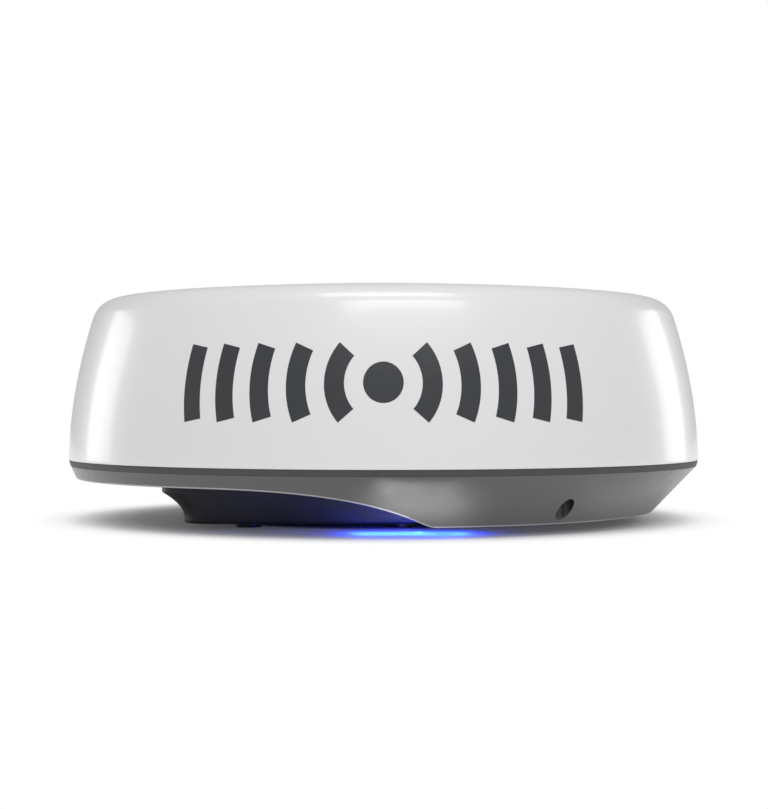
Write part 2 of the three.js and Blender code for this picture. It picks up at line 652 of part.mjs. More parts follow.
// The fixed stem and the turning cap of the rotary joint that carries the signal.
function makeCoupler() {
  const foot = well.floor + gap;
  const footTop = foot + stem.footHeight;
  const fixed = turned([
    [0, foot], [stem.foot, foot], [stem.foot, footTop], [stem.radius, footTop], [stem.radius, stem.top],
    [0, stem.top],
  ], 20);
  add('coupler_stem', fixed, finishes.aluminium);
  const capFoot = turntableTop + gap;
  const turning = turned([
    [0, cap.boreTop], [cap.bore, cap.boreTop], [cap.bore, capFoot], [cap.radius, capFoot],
    [cap.radius, cap.top], [0, cap.top],
  ], 20);
  add('coupler_cap', turning, finishes.aluminium);
  const { x0, x1, half, top } = sensor;
  add('position_sensor', block(x0, x1, -half, half, chassis.top + gap, top), finishes.blackPlastic);
}

// ---------------------------------------------------------------- rotating antenna

function makeTurntable() {
  const { bore, radius } = turntable;
  add('turntable', ring(bore, radius, turntableBottom, turntableTop, 32), finishes.aluminium);
  const foot = turntableTop + gap;
  const clearOfFlange = array.back + array.flange + 0.5;
  const overFlange = array.bottom + array.panel + gap;
  const rib = outlineOf([
    [clearOfFlange, foot], [bracket.reach, foot], [bracket.reach, foot + 4], bracket.shoulder,
    [0, bracket.top], [array.back + gap, bracket.top], [array.back + gap, overFlange],
    [clearOfFlange, overFlange],
  ]);
  const outside = bracket.inside + bracket.thickness;
  add('left_bracket', alongLength(rib, -outside, -bracket.inside), finishes.aluminium);
  add('right_bracket', alongLength(rib, bracket.inside, outside), finishes.aluminium);
  const { half, near, far, height, chamfer } = weight;
  const section = outlineOf([
    [near, foot], [far, foot], [far, foot + height - chamfer], [far - chamfer, foot + height],
    [near, foot + height],
  ]);
  add('counterweight', alongLength(section, -half, half), finishes.stainless);
}

function makeArray() {
  const { half, bottom, top, back, front, panel } = array;
  const flange = back + array.flange;
  const channel = outlineOf([
    [back - panel, bottom], [flange, bottom], [flange, bottom + panel], [back, bottom + panel],
    [back, top - panel], [flange, top - panel], [flange, top], [back - panel, top],
  ]);
  add('array_frame', alongLength(channel, -half, half), finishes.aluminium);
  const boardBack = back - panel - gap;
  const boardFront = boardBack - arrayBoard.thickness;
  const boardHalf = half - arrayBoard.margin;
  const board = block(-boardHalf, boardHalf, boardFront, boardBack, bottom + arrayBoard.margin,
    top - arrayBoard.margin);
  add('array_board', board, finishes.circuitBoard);
  const room = block(-half + coverSkin, half - coverSkin, front + coverSkin, boardBack + 1,
    bottom + coverSkin, top - coverSkin);
  add('array_cover', block(-half, half, front, boardBack, bottom, top).subtract(room), finishes.coverPlastic);

  const can = transceiver;
  const canBack = back + gap;
  const inside = block(-can.half + shieldSkin, can.half - shieldSkin, canBack - 1,
    canBack + can.depth - shieldSkin, can.bottom + shieldSkin, can.top - shieldSkin);
  const shield = block(-can.half, can.half, canBack, canBack + can.depth, can.bottom, can.top);
  add('transceiver_shield', shield.subtract(inside), finishes.tinplate);
}

// ---------------------------------------------------------------- electronics in the housing

function makeElectronics() {
  const { x0, x1, half, bottom, thickness } = mainBoard;
  add('main_board', block(x0, x1, -half, half, bottom, bottom + thickness), finishes.circuitBoard);
  const base = bottom + thickness + gap;
  const can = powerShield;
  const inside = block(can.x0 + shieldSkin, can.x1 - shieldSkin, can.y0 + shieldSkin, can.y1 - shieldSkin,
    base - 1, base + can.height - shieldSkin);
  const shield = block(can.x0, can.x1, can.y0, can.y1, base, base + can.height);
  add('power_shield', shield.subtract(inside), finishes.tinplate);
}

makeRadome();
makeGasket();
makeRadomeScrews();
makeLowerHousing();
makeAccentLights();
makePedestal();
makePedestalFasteners();
makeCableBay();
makeChassis();
makeMotor();
makeBearings();
makeGear();
makeCoupler();
makeTurntable();
makeArray();
makeElectronics();

export default antenna;
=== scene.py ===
"""Marine radar dome antenna on a pale floor: the finished surfaces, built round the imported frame."""

import json
from math import asin, atan, atan2, copysign, cos, hypot, pi, radians, sin, sqrt

import bpy
import numpy as np
from mathutils import Matrix, Vector


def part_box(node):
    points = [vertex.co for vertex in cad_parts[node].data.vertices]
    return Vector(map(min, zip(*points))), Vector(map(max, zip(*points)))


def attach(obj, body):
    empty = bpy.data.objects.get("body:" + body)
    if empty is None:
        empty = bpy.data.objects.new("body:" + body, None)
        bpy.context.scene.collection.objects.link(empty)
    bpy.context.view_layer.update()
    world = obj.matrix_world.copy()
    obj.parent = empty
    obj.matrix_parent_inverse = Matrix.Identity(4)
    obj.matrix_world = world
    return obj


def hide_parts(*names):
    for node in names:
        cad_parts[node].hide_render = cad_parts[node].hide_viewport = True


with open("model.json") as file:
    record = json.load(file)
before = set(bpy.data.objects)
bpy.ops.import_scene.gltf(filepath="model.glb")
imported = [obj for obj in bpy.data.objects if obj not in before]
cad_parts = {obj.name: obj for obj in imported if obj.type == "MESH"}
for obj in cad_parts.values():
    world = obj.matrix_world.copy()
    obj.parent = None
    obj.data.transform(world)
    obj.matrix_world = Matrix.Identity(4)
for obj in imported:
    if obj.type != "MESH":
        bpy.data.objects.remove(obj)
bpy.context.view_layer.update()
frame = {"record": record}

MM = 0.001
TAU = 2 * pi

# Sizes repeated from the CAD model, in metres.
SEAM_HEIGHT = 60 * MM
SEAM_RADIUS = 308.45 * MM
WALL_LEAN = 0.0226
WALL_BOW = 0.00108 / MM
SHOULDER_RADIUS = 25.5 * MM
CROWN_RADIUS = 3.0
CROWN_HEIGHT = 226.5 * MM
RADOME_WALL = 3.5 * MM
RIM_INNER = 268 * MM
FLANGE_TOP = 64 * MM
SKIRT_TOP = 54.3 * MM
SKIRT_TOP_RADIUS = 306.4 * MM
SKIRT_FOOT = 10 * MM
SKIRT_FOOT_RADIUS = 275 * MM
SKIRT_FOOT_SHIFT = -11 * MM
RIM_UNDERSIDE = 50.3 * MM
HOUSING_WALL = 4 * MM
RECESS_CEILING = 42 * MM
# Control points (x, height) of the curve that brings the recess ceiling down to the skirt's foot.
SWEEP = [(-150 * MM, RECESS_CEILING), (-30 * MM, RECESS_CEILING), (10.5 * MM, 24.3 * MM),
         (40 * MM, SKIRT_FOOT)]
SCREW_CIRCLE = 280 * MM
SCREW_OFFSET = radians(-11.25)
SCREW_SEAT = 47 * MM
SCREW_HOLE = 2.25 * MM
SCREW_HOLE_TOP = 75 * MM
ACCESS_BORE = 7.85 * MM
# How far a cutter, or a piece to be joined, reaches past the face that it meets.
PAST = 1 * MM


# ------ mesh helpers

def add_object(name, data):
    obj = bpy.data.objects.new(name, data)
    bpy.context.scene.collection.objects.link(obj)
    return obj


def mesh_object(vertices, faces, material=None, sharp=35):
    """An object from points and faces, smooth-shaded except over edges sharper than sharp degrees."""
    mesh = bpy.data.meshes.new("piece")
    mesh.from_pydata([tuple(map(float, v)) for v in vertices], [], faces)
    mesh.update()
    obj = add_object("piece", mesh)
    if material:
        mesh.materials.append(material)
    smooth(obj, sharp)
    return obj


def smooth(obj, sharp=35):
    obj.data.shade_smooth()
    obj.data.set_sharp_from_angle(angle=radians(sharp))


def skin(rings, capped=True):
    """Vertices and faces joining rings of equal length. A ring of one point is a pole."""
    vertices, starts = [], []
    for ring in rings:
        starts.append(len(vertices))
        vertices.extend(ring)
    faces = []
    for (ring_a, a), (ring_b, b) in zip(zip(rings, starts), zip(rings[1:], starts[1:])):
        count_a, count_b = len(ring_a), len(ring_b)
        for i in range(max(count_a, count_b)):
            j = i + 1
            corners = (a + i % count_a, a + j % count_a, b + j % count_b, b + i % count_b)
            faces.append(tuple(dict.fromkeys(corners)))
    if capped:
        faces.append(tuple(reversed(range(len(rings[0])))))
        faces.append(tuple(range(starts[-1], len(vertices))))
    return vertices, faces


def mm(*values):
    """A point given in millimetres."""
    return np.array(values) * MM


def around(count, radius, at=(0.0, 0.0), start=0.0):
    """Points spaced evenly round a circle."""
    turns = start + np.arange(count) * TAU / count
    return [(at[0] + radius * cos(t), at[1] + radius * sin(t)) for t in turns]


def circle(radius, height, sides, centre=(0.0, 0.0)):
    return [(x, y, height) for x, y in around(sides, radius, centre)]


def revolve(outline, sides=96, material=None, sharp=35, at=(0.0, 0.0)):
    """Turns (radius, height) points about a vertical axis. The outline runs so that solid is on its left."""
    smallest = 1e-7
    rings = [circle(r, z, sides, at) if r > smallest else [(*at, z)] for r, z in outline]
    closed = outline[0][0] <= smallest and outline[-1][0] <= smallest
    if not closed:
        rings.append(rings[0])
    vertices, faces = skin(rings, capped=False)
    if not closed:
        last = len(vertices) - sides
        vertices, faces = vertices[:last], [tuple(v % last for v in face) for face in faces]
    return mesh_object(vertices, faces, material, sharp)


def boundary(low, high, below):
    """The value between low and high where below stops being true."""
    for _ in range(40):
        middle = (low + high) / 2
        low, high = (middle, high) if below(middle) else (low, middle)
    return low


def rounded(outline, radius, steps=4):
    """Rounds every corner of a closed outline of 2D points. radius may be one per corner."""
    radii = radius if hasattr(radius, "__len__") else [radius] * len(outline)
    points = []
    for i, corner in enumerate(outline):
        corner = np.array(corner, float)
        before = np.array(outline[i - 1], float) - corner
        after = np.array(outline[(i + 1) % len(outline)], float) - corner
        reach = radii[i]
        if reach <= 0:
            points.append(tuple(corner))
            continue
        before, after = before / np.linalg.norm(before), after / np.linalg.norm(after)
        for t in np.linspace(0, 1, steps + 1):
            points.append(tuple(corner + before * reach * (1 - t) ** 2 + after * reach * t ** 2))
    return points


def settle(obj):
    """Applies an object's modifiers to its mesh."""
    shown = obj.evaluated_get(bpy.context.evaluated_depsgraph_get())
    made = bpy.data.meshes.new_from_object(shown)
    old = obj.data
    obj.modifiers.clear()
    obj.data = made
    bpy.data.meshes.remove(old)


def carve(obj, cutters, operation="DIFFERENCE"):
    """Cuts, joins or intersects obj with each cutter, then deletes the cutters."""
    for cutter in cutters:
        boolean = obj.modifiers.new("carve", "BOOLEAN")
        boolean.operation = operation
        boolean.solver = "MANIFOLD"
        boolean.object = cutter
    settle(obj)
    for cutter in cutters:
        bpy.data.objects.remove(cutter)


def bevel(obj, width, segments=2):
    """Bevels every edge sharper than 30 degrees."""
    edge = obj.modifiers.new("edge", "BEVEL")
    edge.width = width
    edge.segments = segments
    edge.limit_method = "ANGLE"
    edge.angle_limit = radians(30)
    edge.harden_normals = True
    settle(obj)
    smooth(obj)


def rod(radius, bottom, top, centre=(0.0, 0.0), sides=48):
    return mesh_object(*skin([circle(radius, bottom, sides, centre), circle(radius, top, sides, centre)]))


def rods(places, radius, bottom, top, sides=48):
    return [rod(radius, bottom, top, place, sides) for place in places]


def block(low, high):
    (x0, y0, z0), (x1, y1, z1) = low, high
    lower = [(x0, y0, z0), (x1, y0, z0), (x1, y1, z0), (x0, y1, z0)]
    return mesh_object(*skin([lower, [(x, y, z1) for x, y, _ in lower]]))


def join(pieces):
    """Puts several separate bodies into one mesh, without cutting them together."""
    vertices, faces = [], []
    for piece in pieces:
        start = len(vertices)
        vertices += [tuple(v.co) for v in piece.data.vertices]
        faces += [tuple(start + v for v in face.vertices) for face in piece.data.polygons]
    material = pieces[0].data.materials[0] if pieces[0].data.materials else None
    for piece in pieces:
        bpy.data.objects.remove(piece)
    return mesh_object(vertices, faces, material)


# ------ places in the frame

BODY_OF = {node: body for body, nodes in frame["record"]["behaviour"]["bodies"].items() for node in nodes}


def place_of(node):
    """The centre of a CAD node's box in the XY plane, in millimetres."""
    low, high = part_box(node)
    return (low[0] + high[0]) / 2 / MM, (low[1] + high[1]) / 2 / MM


def stand_for(piece, node, name=None):
    """Makes piece the finished version of a CAD node: names it, hides the node and puts the piece on the
    node's body.
    """
    piece.name = piece.data.name = name or node + "_fine"
    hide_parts(node)
    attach(piece, BODY_OF[node])


def trim(name, pieces, body="housing"):
    """Joins pieces that stand for no CAD node of their own, and puts them on a body."""
    piece = join(pieces) if len(pieces) > 1 else pieces[0]
    piece.name = piece.data.name = name
    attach(piece, body)


# ------ materials

class Material:
    """A Principled material and its node tree. In the names of settings, _ stands for a space."""

    def __init__(self, name, colour, roughness, metallic=0.0, **settings):
        self.material = bpy.data.materials.new(name)
        self.material.use_nodes = True
        self.material.diffuse_color = (*colour, 1)
        self.tree = self.material.node_tree
        self.shader = next(n for n in self.tree.nodes if n.type == "BSDF_PRINCIPLED")
        self.colour, self.roughness = colour, roughness
        self.adjust(self.shader, Base_Color=(*colour, 1), Roughness=roughness, Metallic=metallic, **settings)

    @staticmethod
    def adjust(node, **settings):
        """Sets a node's inputs, and its properties where it has no input of that name."""
        for label, value in settings.items():
            if label.replace("_", " ") in node.inputs.keys():
                node.inputs[label.replace("_", " ")].default_value = value
            else:
                setattr(node, label, value)
        return node

    def node(self, kind, **settings):
        return self.adjust(self.tree.nodes.new(kind), **settings)

    def link(self, source, target):
        self.tree.links.new(source, target)

    def noise(self, scale, detail, stretch=(1, 1, 1)):
        """Noise laid over the object's own coordinates, in repeats per metre."""
        mapping = self.node("ShaderNodeMapping", Scale=stretch)
        self.link(self.node("ShaderNodeTexCoord").outputs["Object"], mapping.inputs["Vector"])
        made = self.node("ShaderNodeTexNoise", Scale=scale, Detail=detail)
        self.link(mapping.outputs["Vector"], made.inputs["Vector"])
        return made.outputs["Fac"]

    def vary_colour(self, scale, amount, detail=4.0):
        """Lightens and darkens the colour a little, patch by patch."""
        ramp = self.node("ShaderNodeValToRGB")
        for element, position, factor in zip(ramp.color_ramp.elements, (0.3, 0.7), (1 - amount, 1 + amount)):
            element.position = position
            element.color = (*[min(1, c * factor) for c in self.colour], 1)
        self.link(self.noise(scale, detail), ramp.inputs["Fac"])
        self.link(ramp.outputs["Color"], self.shader.inputs["Base Color"])

    def vary_roughness(self, scale, amount, stretch=(1, 1, 1)):
        spread = self.node("ShaderNodeMapRange", From_Min=0.3, From_Max=0.7, To_Min=self.roughness - amount,
                           To_Max=self.roughness + amount)
        self.link(self.noise(scale, 3.0, stretch), spread.inputs["Value"])
        self.link(spread.outputs["Result"], self.shader.inputs["Roughness"])

    def bump(self, height, distance, strength):
        """Bumps of a depth in metres, from a node output between 0 and 1."""
        made = self.node("ShaderNodeBump", Strength=strength, Distance=distance)
        self.link(height, made.inputs["Height"])
        self.link(made.outputs["Normal"], self.shader.inputs["Normal"])


def varied(name, colour, roughness, patches, sheen, grain, metallic=0.0, stretch=(1, 1, 1), **settings):
    """A material that varies a little from place to place.

    patches and sheen are (scale, amount) for colour and roughness, and grain is (scale, depth, strength) for
    the bumps. stretch draws sheen and grain out along an axis."""
    made = Material(name, colour, roughness, metallic, **settings)
    made.vary_colour(*patches)
    made.vary_roughness(*sheen, stretch)
    scale, depth, strength = grain
    made.bump(made.noise(scale, 2.0, stretch), depth, strength)
    return made.material


def silver_paint(name, level):
    return varied(name, (level, level * 1.005, level * 1.02), 0.34, (2600, 0.10, 2), (90, 0.03),
                  (1500, 0.00002, 0.35), 0.6, Coat_Weight=0.25, Coat_Roughness=0.25)


def metal(name, colour, roughness, stretch=(1, 1, 1), grain=400):
    """Bare metal with fine machining grain."""
    return varied(name, colour, roughness, (12, 0.06), (grain, 0.08), (grain * 3, 0.00003, 0.35), 1.0,
                  stretch)


def moulded(name, colour, roughness, grain=900, depth=0.00004, **settings):
    """Moulded plastic with a fine spark-eroded texture."""
    return varied(name, colour, roughness, (18, 0.05), (150, 0.05), (grain, depth, 0.5), **settings)


def solder_mask():
    """Green circuit board: copper areas show as slightly lighter blocks under the lacquer."""
    made = Material("green_solder_mask", (0.012, 0.075, 0.035), 0.28, Coat_Weight=0.4, Coat_Roughness=0.15)
    tracks = made.node("ShaderNodeTexBrick", offset=0.37, offset_frequency=3, Scale=70, Mortar_Size=0.07,
                       Mortar_Smooth=0.1, Bias=0.2, Brick_Width=1.6, Row_Height=0.22,
                       Color1=(0.012, 0.085, 0.04, 1), Color2=(0.009, 0.06, 0.03, 1),
                       Mortar=(0.03, 0.16, 0.07, 1))
    made.link(made.node("ShaderNodeTexCoord").outputs["Object"], tracks.inputs["Vector"])
    made.link(tracks.outputs["Color"], made.shader.inputs["Base Color"])
    made.vary_roughness(60, 0.05)
    made.bump(tracks.outputs["Fac"], 0.00005, 0.4)
    return made.material


def blue_diffuser():
    made = Material("blue_diffuser", (0.02, 0.05, 0.8), 0.3, Emission_Color=(0.01, 0.06, 1.0, 1),
                    Emission_Strength=6.0)
    made.vary_colour(60, 0.1)
    made.bump(made.noise(500, 2.0), 0.00003, 0.4)
    return made.material


# A much lighter copy of the silver for the fillet along the housing's lower edge: a painted highlight where
# that edge catches the light.
SILVER_PAINTED_HIGHLIGHT = silver_paint("silver_grey_painted_highlight", 0.34)
WHITE = varied("white_gelcoat", (0.76, 0.76, 0.765), 0.3, (6, 0.006), (30, 0.015), (300, 0.00001, 0.3),
               Coat_Weight=0.3, Coat_Roughness=0.1)
SILVER = silver_paint("silver_grey_paint", 0.098)
BAND = varied("seam_rubber", (0.06, 0.061, 0.063), 0.6, (40, 0.06), (300, 0.05), (900, 0.00004, 0.5),
              Specular_IOR_Level=0.35)
BLACK = varied("black_powder_coat", (0.009, 0.0095, 0.0105), 0.42, (30, 0.15), (200, 0.06),
               (700, 0.00008, 0.5), Specular_IOR_Level=0.35)
INK = varied("printed_charcoal", (0.036, 0.039, 0.044), 0.34, (25, 0.05), (120, 0.04), (500, 0.00002, 0.3))
STEEL = metal("turned_stainless", (0.56, 0.57, 0.58), 0.28, (1, 1, 8))
BLACKENED = metal("blackened_steel", (0.035, 0.036, 0.04), 0.38, (1, 1, 6))
ALUMINIUM = metal("milled_aluminium", (0.66, 0.67, 0.69), 0.34, (8, 1, 1))
TINNED = metal("tinned_sheet", (0.72, 0.73, 0.74), 0.24, (1, 6, 1), 250)
BRASS = metal("brass", (0.75, 0.55, 0.25), 0.3)
GOLD = metal("gold_plate", (0.9, 0.65, 0.25), 0.2)
CAPACITOR = metal("capacitor_can", (0.5, 0.52, 0.56), 0.22)
MOTOR = moulded("motor_lacquer", (0.028, 0.029, 0.032), 0.38, 600, 0.00006)
PLASTIC = moulded("black_nylon", (0.02, 0.02, 0.022), 0.48)
CHIP = moulded("chip_epoxy", (0.016, 0.016, 0.018), 0.55, 2500, 0.00002)
NYLON = moulded("natural_nylon", (0.72, 0.7, 0.62), 0.42, Subsurface_Weight=0.05)
ACETAL = moulded("white_acetal", (0.74, 0.72, 0.65), 0.36, Subsurface_Weight=0.05)
COVER = moulded("array_cover_plastic", (0.58, 0.59, 0.6), 0.42, 1200, 0.00003)
CERAMIC = moulded("ceramic_parts", (0.3, 0.24, 0.17), 0.4)
BOARD, LENS = solder_mask(), blue_diffuser()


# ------ radome

def wall_radius(rise):
    """The radome's outer radius at a height above the seam."""
    return SEAM_RADIUS - WALL_LEAN * rise - WALL_BOW * rise * rise


def dome_outline(depth, start_height, steps):
    """(radius, height) points of the radome, depth below its outer skin, from start_height to the axis."""
    crown_centre = CROWN_HEIGHT - CROWN_RADIUS

    def shoulder_at(rise):
        """The lean of the wall there, and the centre of a shoulder arc that starts there."""
        lean = atan(WALL_LEAN + 2 * WALL_BOW * rise)
        return (lean, wall_radius(rise) - SHOULDER_RADIUS * cos(lean),
                SEAM_HEIGHT + rise - SHOULDER_RADIUS * sin(lean))

    def under_crown(rise):
        _, radius, height = shoulder_at(rise)
        return hypot(radius, height - crown_centre) < CROWN_RADIUS - SHOULDER_RADIUS

    wall_top = boundary(0.0, CROWN_HEIGHT - SEAM_HEIGHT, under_crown)
    lean, radius, height = shoulder_at(wall_top)
    crown_lean = atan2(height - crown_centre, radius)
    wall_steps, shoulder_steps, crown_steps = steps
    wall = np.linspace(start_height - SEAM_HEIGHT, wall_top, wall_steps + 1)[:-1]
    points = [(wall_radius(rise) - depth, SEAM_HEIGHT + rise) for rise in wall]
    reach = SHOULDER_RADIUS - depth
    for angle in np.linspace(lean, crown_lean, shoulder_steps + 1):
        points.append((radius + reach * cos(angle), height + reach * sin(angle)))
    reach = CROWN_RADIUS - depth
    for angle in np.linspace(crown_lean, pi / 2, crown_steps + 1)[1:-1]:
        points.append((reach * cos(angle), crown_centre + reach * sin(angle)))
    points.append((0.0, crown_centre + reach))
    return points


def screw_places():
    return around(8, SCREW_CIRCLE, start=SCREW_OFFSET)


def screw_holes(bottom, top):
    return rods(screw_places(), SCREW_HOLE, bottom, top, 24)


def make_radome():
    edge, boss_radius, boss_top = mm(1.3, 8, 80)
    fine, coarse = (16, 18, 16), (8, 8, 8)
    inside = dome_outline(RADOME_WALL, FLANGE_TOP + PAST, coarse)[::-1]
    outside = dome_outline(0, SEAM_HEIGHT + edge, fine)
    foot = [(SEAM_RADIUS - edge * (1 - sin(a)), SEAM_HEIGHT + edge * (1 - cos(a)))
            for a in np.linspace(0, pi / 2, 6)[:-1]]
    outline = [*inside, (inside[-1][0] - PAST, FLANGE_TOP), (RIM_INNER, FLANGE_TOP), (RIM_INNER, SEAM_HEIGHT),
               *foot, *outside]
    shell = revolve(outline, 288, WHITE)
    carve(shell, rods(screw_places(), boss_radius, FLANGE_TOP - PAST, boss_top), "UNION")
    carve(shell, screw_holes(SEAM_HEIGHT - PAST, SCREW_HOLE_TOP))
    smooth(shell, 40)
    stand_for(shell, "radome", "radome_shell")


def printed_mark(rows):
    """A thin print that hugs the wall. Each row holds (along the wall, height) points across the mark."""
    def on_wall(point, depth):
        along, height = point
        radius = wall_radius(height - SEAM_HEIGHT) - depth
        turn = along / SEAM_RADIUS
        return radius * sin(turn), -radius * cos(turn), height

    sunk, proud = mm(0.3, -0.12)
    rings = [[on_wall(p, sunk) for p in row] + [on_wall(p, proud) for p in row[::-1]] for row in rows]
    return mesh_object(*skin(rings), INK)


def wave_mark(side, inner, outer, half_height, middle):
    """Part of a ring round the dot, cut off at the same height as the others."""
    spread = asin(min(1.0, half_height / outer))
    radii = np.linspace(inner, outer, 5)
    return printed_mark([[(side * radius * cos(t), middle + radius * sin(t)) for radius in radii]
                         for t in np.linspace(-spread, spread, 33)])


def make_printed_waves():
    """A dot with waves spreading from it to each side, printed on the port and starboard walls."""
    middle, half_height, dot, stroke = mm(131.5, 33, 17, 17)
    for label, turn in (("port", 0), ("starboard", pi)):
        rows = [[(dot * cos(t) * u, middle + dot * sin(t)) for u in np.linspace(-1, 1, 9)]
                for t in np.linspace(-1.5, 1.5, 25)]
        marks = [printed_mark(rows)]
        for reach in mm(50, 83, 116, 149, 182):
            marks += [wave_mark(side, reach - stroke, reach, half_height, middle) for side in (-1, 1)]
        waves = join(marks)
        waves.data.transform(Matrix.Rotation(turn, 4, "Z"))
        trim(f"printed_waves_{label}", [waves], "radome")


def make_band():
    """The rubber between the shells. Its top has three sealing grooves."""
    low, high = SKIRT_TOP, SEAM_HEIGHT - 0.1 * MM
    outer_low, outer_high = SKIRT_TOP_RADIUS + 0.3 * MM, SEAM_RADIUS - 0.5 * MM
    outline = [(RIM_INNER, low), (outer_low - 0.6 * MM, low), (outer_low, low + 0.5 * MM),
               (outer_high, high - 0.5 * MM), (outer_high - 0.5 * MM, high)]
    for groove in mm(300, 296, 292):
        outline += [(groove + 1 * MM, high), (groove, high - 0.8 * MM), (groove - 1 * MM, high)]
    outline.append((RIM_INNER, high))
    band = revolve(outline, 288, BAND)
    carve(band, screw_holes(SKIRT_TOP - PAST, SEAM_HEIGHT + PAST))
    smooth(band, 50)
    stand_for(band, "rim_gasket", "seam_band")


# ------ lower housing

def smooth_ceiling(ease=7 * MM, count=2000):
    """The recess ceiling's height along X, with the corner at its foot eased over a short length."""
    t = np.linspace(0, 1, 400)[:, None]
    a, b, c, d = (np.array(p) for p in SWEEP)
    curve = (1 - t) ** 3 * a + 3 * (1 - t) ** 2 * t * b + 3 * (1 - t) * t * t * c + t ** 3 * d
    along = np.linspace(-0.35, 0.35, count)
    height = np.interp(along, curve[:, 0], curve[:, 1])
    width = int(ease / (along[1] - along[0]))
    kernel = np.hanning(2 * width + 1)
    padded = np.pad(height, width, mode="edge")
    return along, np.convolve(padded, kernel / kernel.sum(), mode="valid")


CEILING = smooth_ceiling()


def underside(x, lift=0.0):
    return np.interp(x, *CEILING) + lift


def skirt_point(turn, height, inset=0.0):
    """A point on the oblique cone of the skirt."""
    share = (height - SKIRT_FOOT) / (SKIRT_TOP - SKIRT_FOOT)
    radius = SKIRT_FOOT_RADIUS + (SKIRT_TOP_RADIUS - SKIRT_FOOT_RADIUS) * share - inset
    return np.array([SKIRT_FOOT_SHIFT * (1 - share) + radius * np.cos(turn), radius * np.sin(turn), height])


def skirt_edge(turn, inset=0.0, lift=0.0):
    """Where one ruling of the skirt meets the underside."""
    def in_recess(height):
        return height < underside(skirt_point(turn, height, inset)[0], lift)

    return skirt_point(turn, boundary(SKIRT_FOOT - 1 * MM, SKIRT_TOP, in_recess), inset)


def skirt_body(top, inset, lift, fillet, sides, spans):
    """A closed body: the oblique cone down to its edge, a fillet, and the underside in to the axis."""
    wall_steps, fillet_steps, under_steps = spans
    columns = []
    for turn in np.arange(sides) * TAU / sides:
        edge = skirt_edge(turn, inset, lift)
        upper = skirt_point(turn, top, inset)
        up = (upper - edge) / np.linalg.norm(upper - edge)
        step = edge * 0.985
        inward = np.array([step[0], step[1], underside(step[0], lift)]) - edge
        inward /= np.linalg.norm(inward)
        column = [upper + (edge + up * fillet - upper) * i / wall_steps for i in range(wall_steps)]
        for t in np.linspace(0, 1, fillet_steps + 1):
            column.append(edge + up * fillet * (1 - t) ** 2 + inward * fillet * t * t)
        begin = column[-1]
        for i in range(1, under_steps):
            x, y = begin[:2] * (1 - i / under_steps)
            column.append(np.array([x, y, underside(x, lift)]))
        columns.append(column)
    rings = [[(0.0, 0.0, top)], *zip(*columns), [(0.0, 0.0, underside(0.0, lift))]]
    return mesh_object(*skin(rings[::-1], capped=False), SILVER)


WELL_LOW, WELL_HIGH = mm(-140, -95, 14), mm(60, 95, 50.3)
PEDESTAL_SCREWS = [(x * MM, y * MM) for x in (-128, 48) for y in (-84, 84)]


def corner_places(x, y):
    return [(a * x * MM, b * y * MM) for a in (-1, 1) for b in (-1, 1)]


def bore_fins():
    """A thin fin down the inner side of each access bore, cut off above the skirt's edge."""
    fins = []
    for x, y in screw_places():
        low, high = sorted(y + copysign(reach, -y) for reach in mm(6.4, 8.2))
        fins.append(block((x - 0.4 * MM, low, 0), (x + 0.4 * MM, high, 42 * MM)))
    fins = join(fins)
    carve(fins, [skirt_body(SKIRT_TOP, 1 * MM, 1 * MM, 1.6 * MM, 96, (3, 2, 24))], "INTERSECT")
    return fins


def paint_housing(body):
    """Silver all over, but black in the access bores as painted shade, and a much lighter silver along the
    lower edge as a painted highlight.
    """
    body.data.materials.clear()
    for material in (SILVER, PLASTIC, SILVER_PAINTED_HIGHLIGHT):
        body.data.materials.append(material)
    axes = np.array(screw_places())
    for face in body.data.polygons:
        x, y, z = face.center
        from_bore = np.linalg.norm(axes - (x, y), axis=1).min() - ACCESS_BORE
        from_skirt = hypot(*skirt_point(atan2(y, x), z)[:2]) - hypot(x, y)
        # Black on the walls of the access bores: painted shade deep in the bores.
        if from_bore < 0.05 * MM and z < SCREW_SEAT + 0.4 * MM:
            face.material_index = 1
        # The fillet along the lower edge gets the lighter copy of the silver: a painted highlight.
        elif z - underside(x) < 1.2 * MM and from_skirt < 1.5 * MM:
            face.material_index = 2


def make_housing():
    body = skirt_body(SKIRT_TOP, 0, 0, 1.6 * MM, 360, (10, 6, 56))
    bores = rods(screw_places(), ACCESS_BORE, 0, SCREW_SEAT + 0.3 * MM, 56)
    cavity = skirt_body(RIM_UNDERSIDE, 5 * MM, HOUSING_WALL, 3 * MM, 96, (2, 2, 24))
    carve(cavity, rods(screw_places(), 11.5 * MM, 0, SKIRT_TOP, 32))
    lifted = np.array([0, 0, HOUSING_WALL])
    carve(body, [block(WELL_LOW - HOUSING_WALL, WELL_HIGH - lifted)], "UNION")
    mouth = rod(RIM_INNER, RIM_UNDERSIDE - PAST, SKIRT_TOP + PAST, sides=192)
    carve(body, [cavity, block(WELL_LOW, WELL_HIGH), mouth, *bores])
    pillar_places = corner_places(92, 80)
    pillars = rods(pillar_places, *mm(7, 13, 49.7))
    ribs = [block(mm(120, y - 1.2, 13.5), mm(236, y + 1.2, 22.2)) for y in (-70, 0, 70)]
    carve(body, pillars + ribs, "UNION")
    holes = rods(pillar_places, *mm(2.5, 36, 50), 24) + rods(PEDESTAL_SCREWS, *mm(2.5, 0, 15), 24)
    lens_pockets = [block(mm(43.7, y - 30.3, 0), mm(60.3, y + 30.3, 15)) for y in (-206, 206)]
    inlets = [prism(disc(11.8, (y, SOCKET_HEIGHT), 48), -149, -135, along="X") for y in (-SOCKET_Y, SOCKET_Y)]
    vent = rod(*mm(4.8, 41, 47), mm(-150, 200), 32)
    carve(body, [*holes, *lens_pockets, *inlets, vent, *screw_holes(SCREW_SEAT, SKIRT_TOP + PAST)])
    carve(body, [bore_fins()], "UNION")
    smooth(body, 28)
    paint_housing(body)
    stand_for(body, "lower_housing", "skirt_shell")


# ------ pedestal

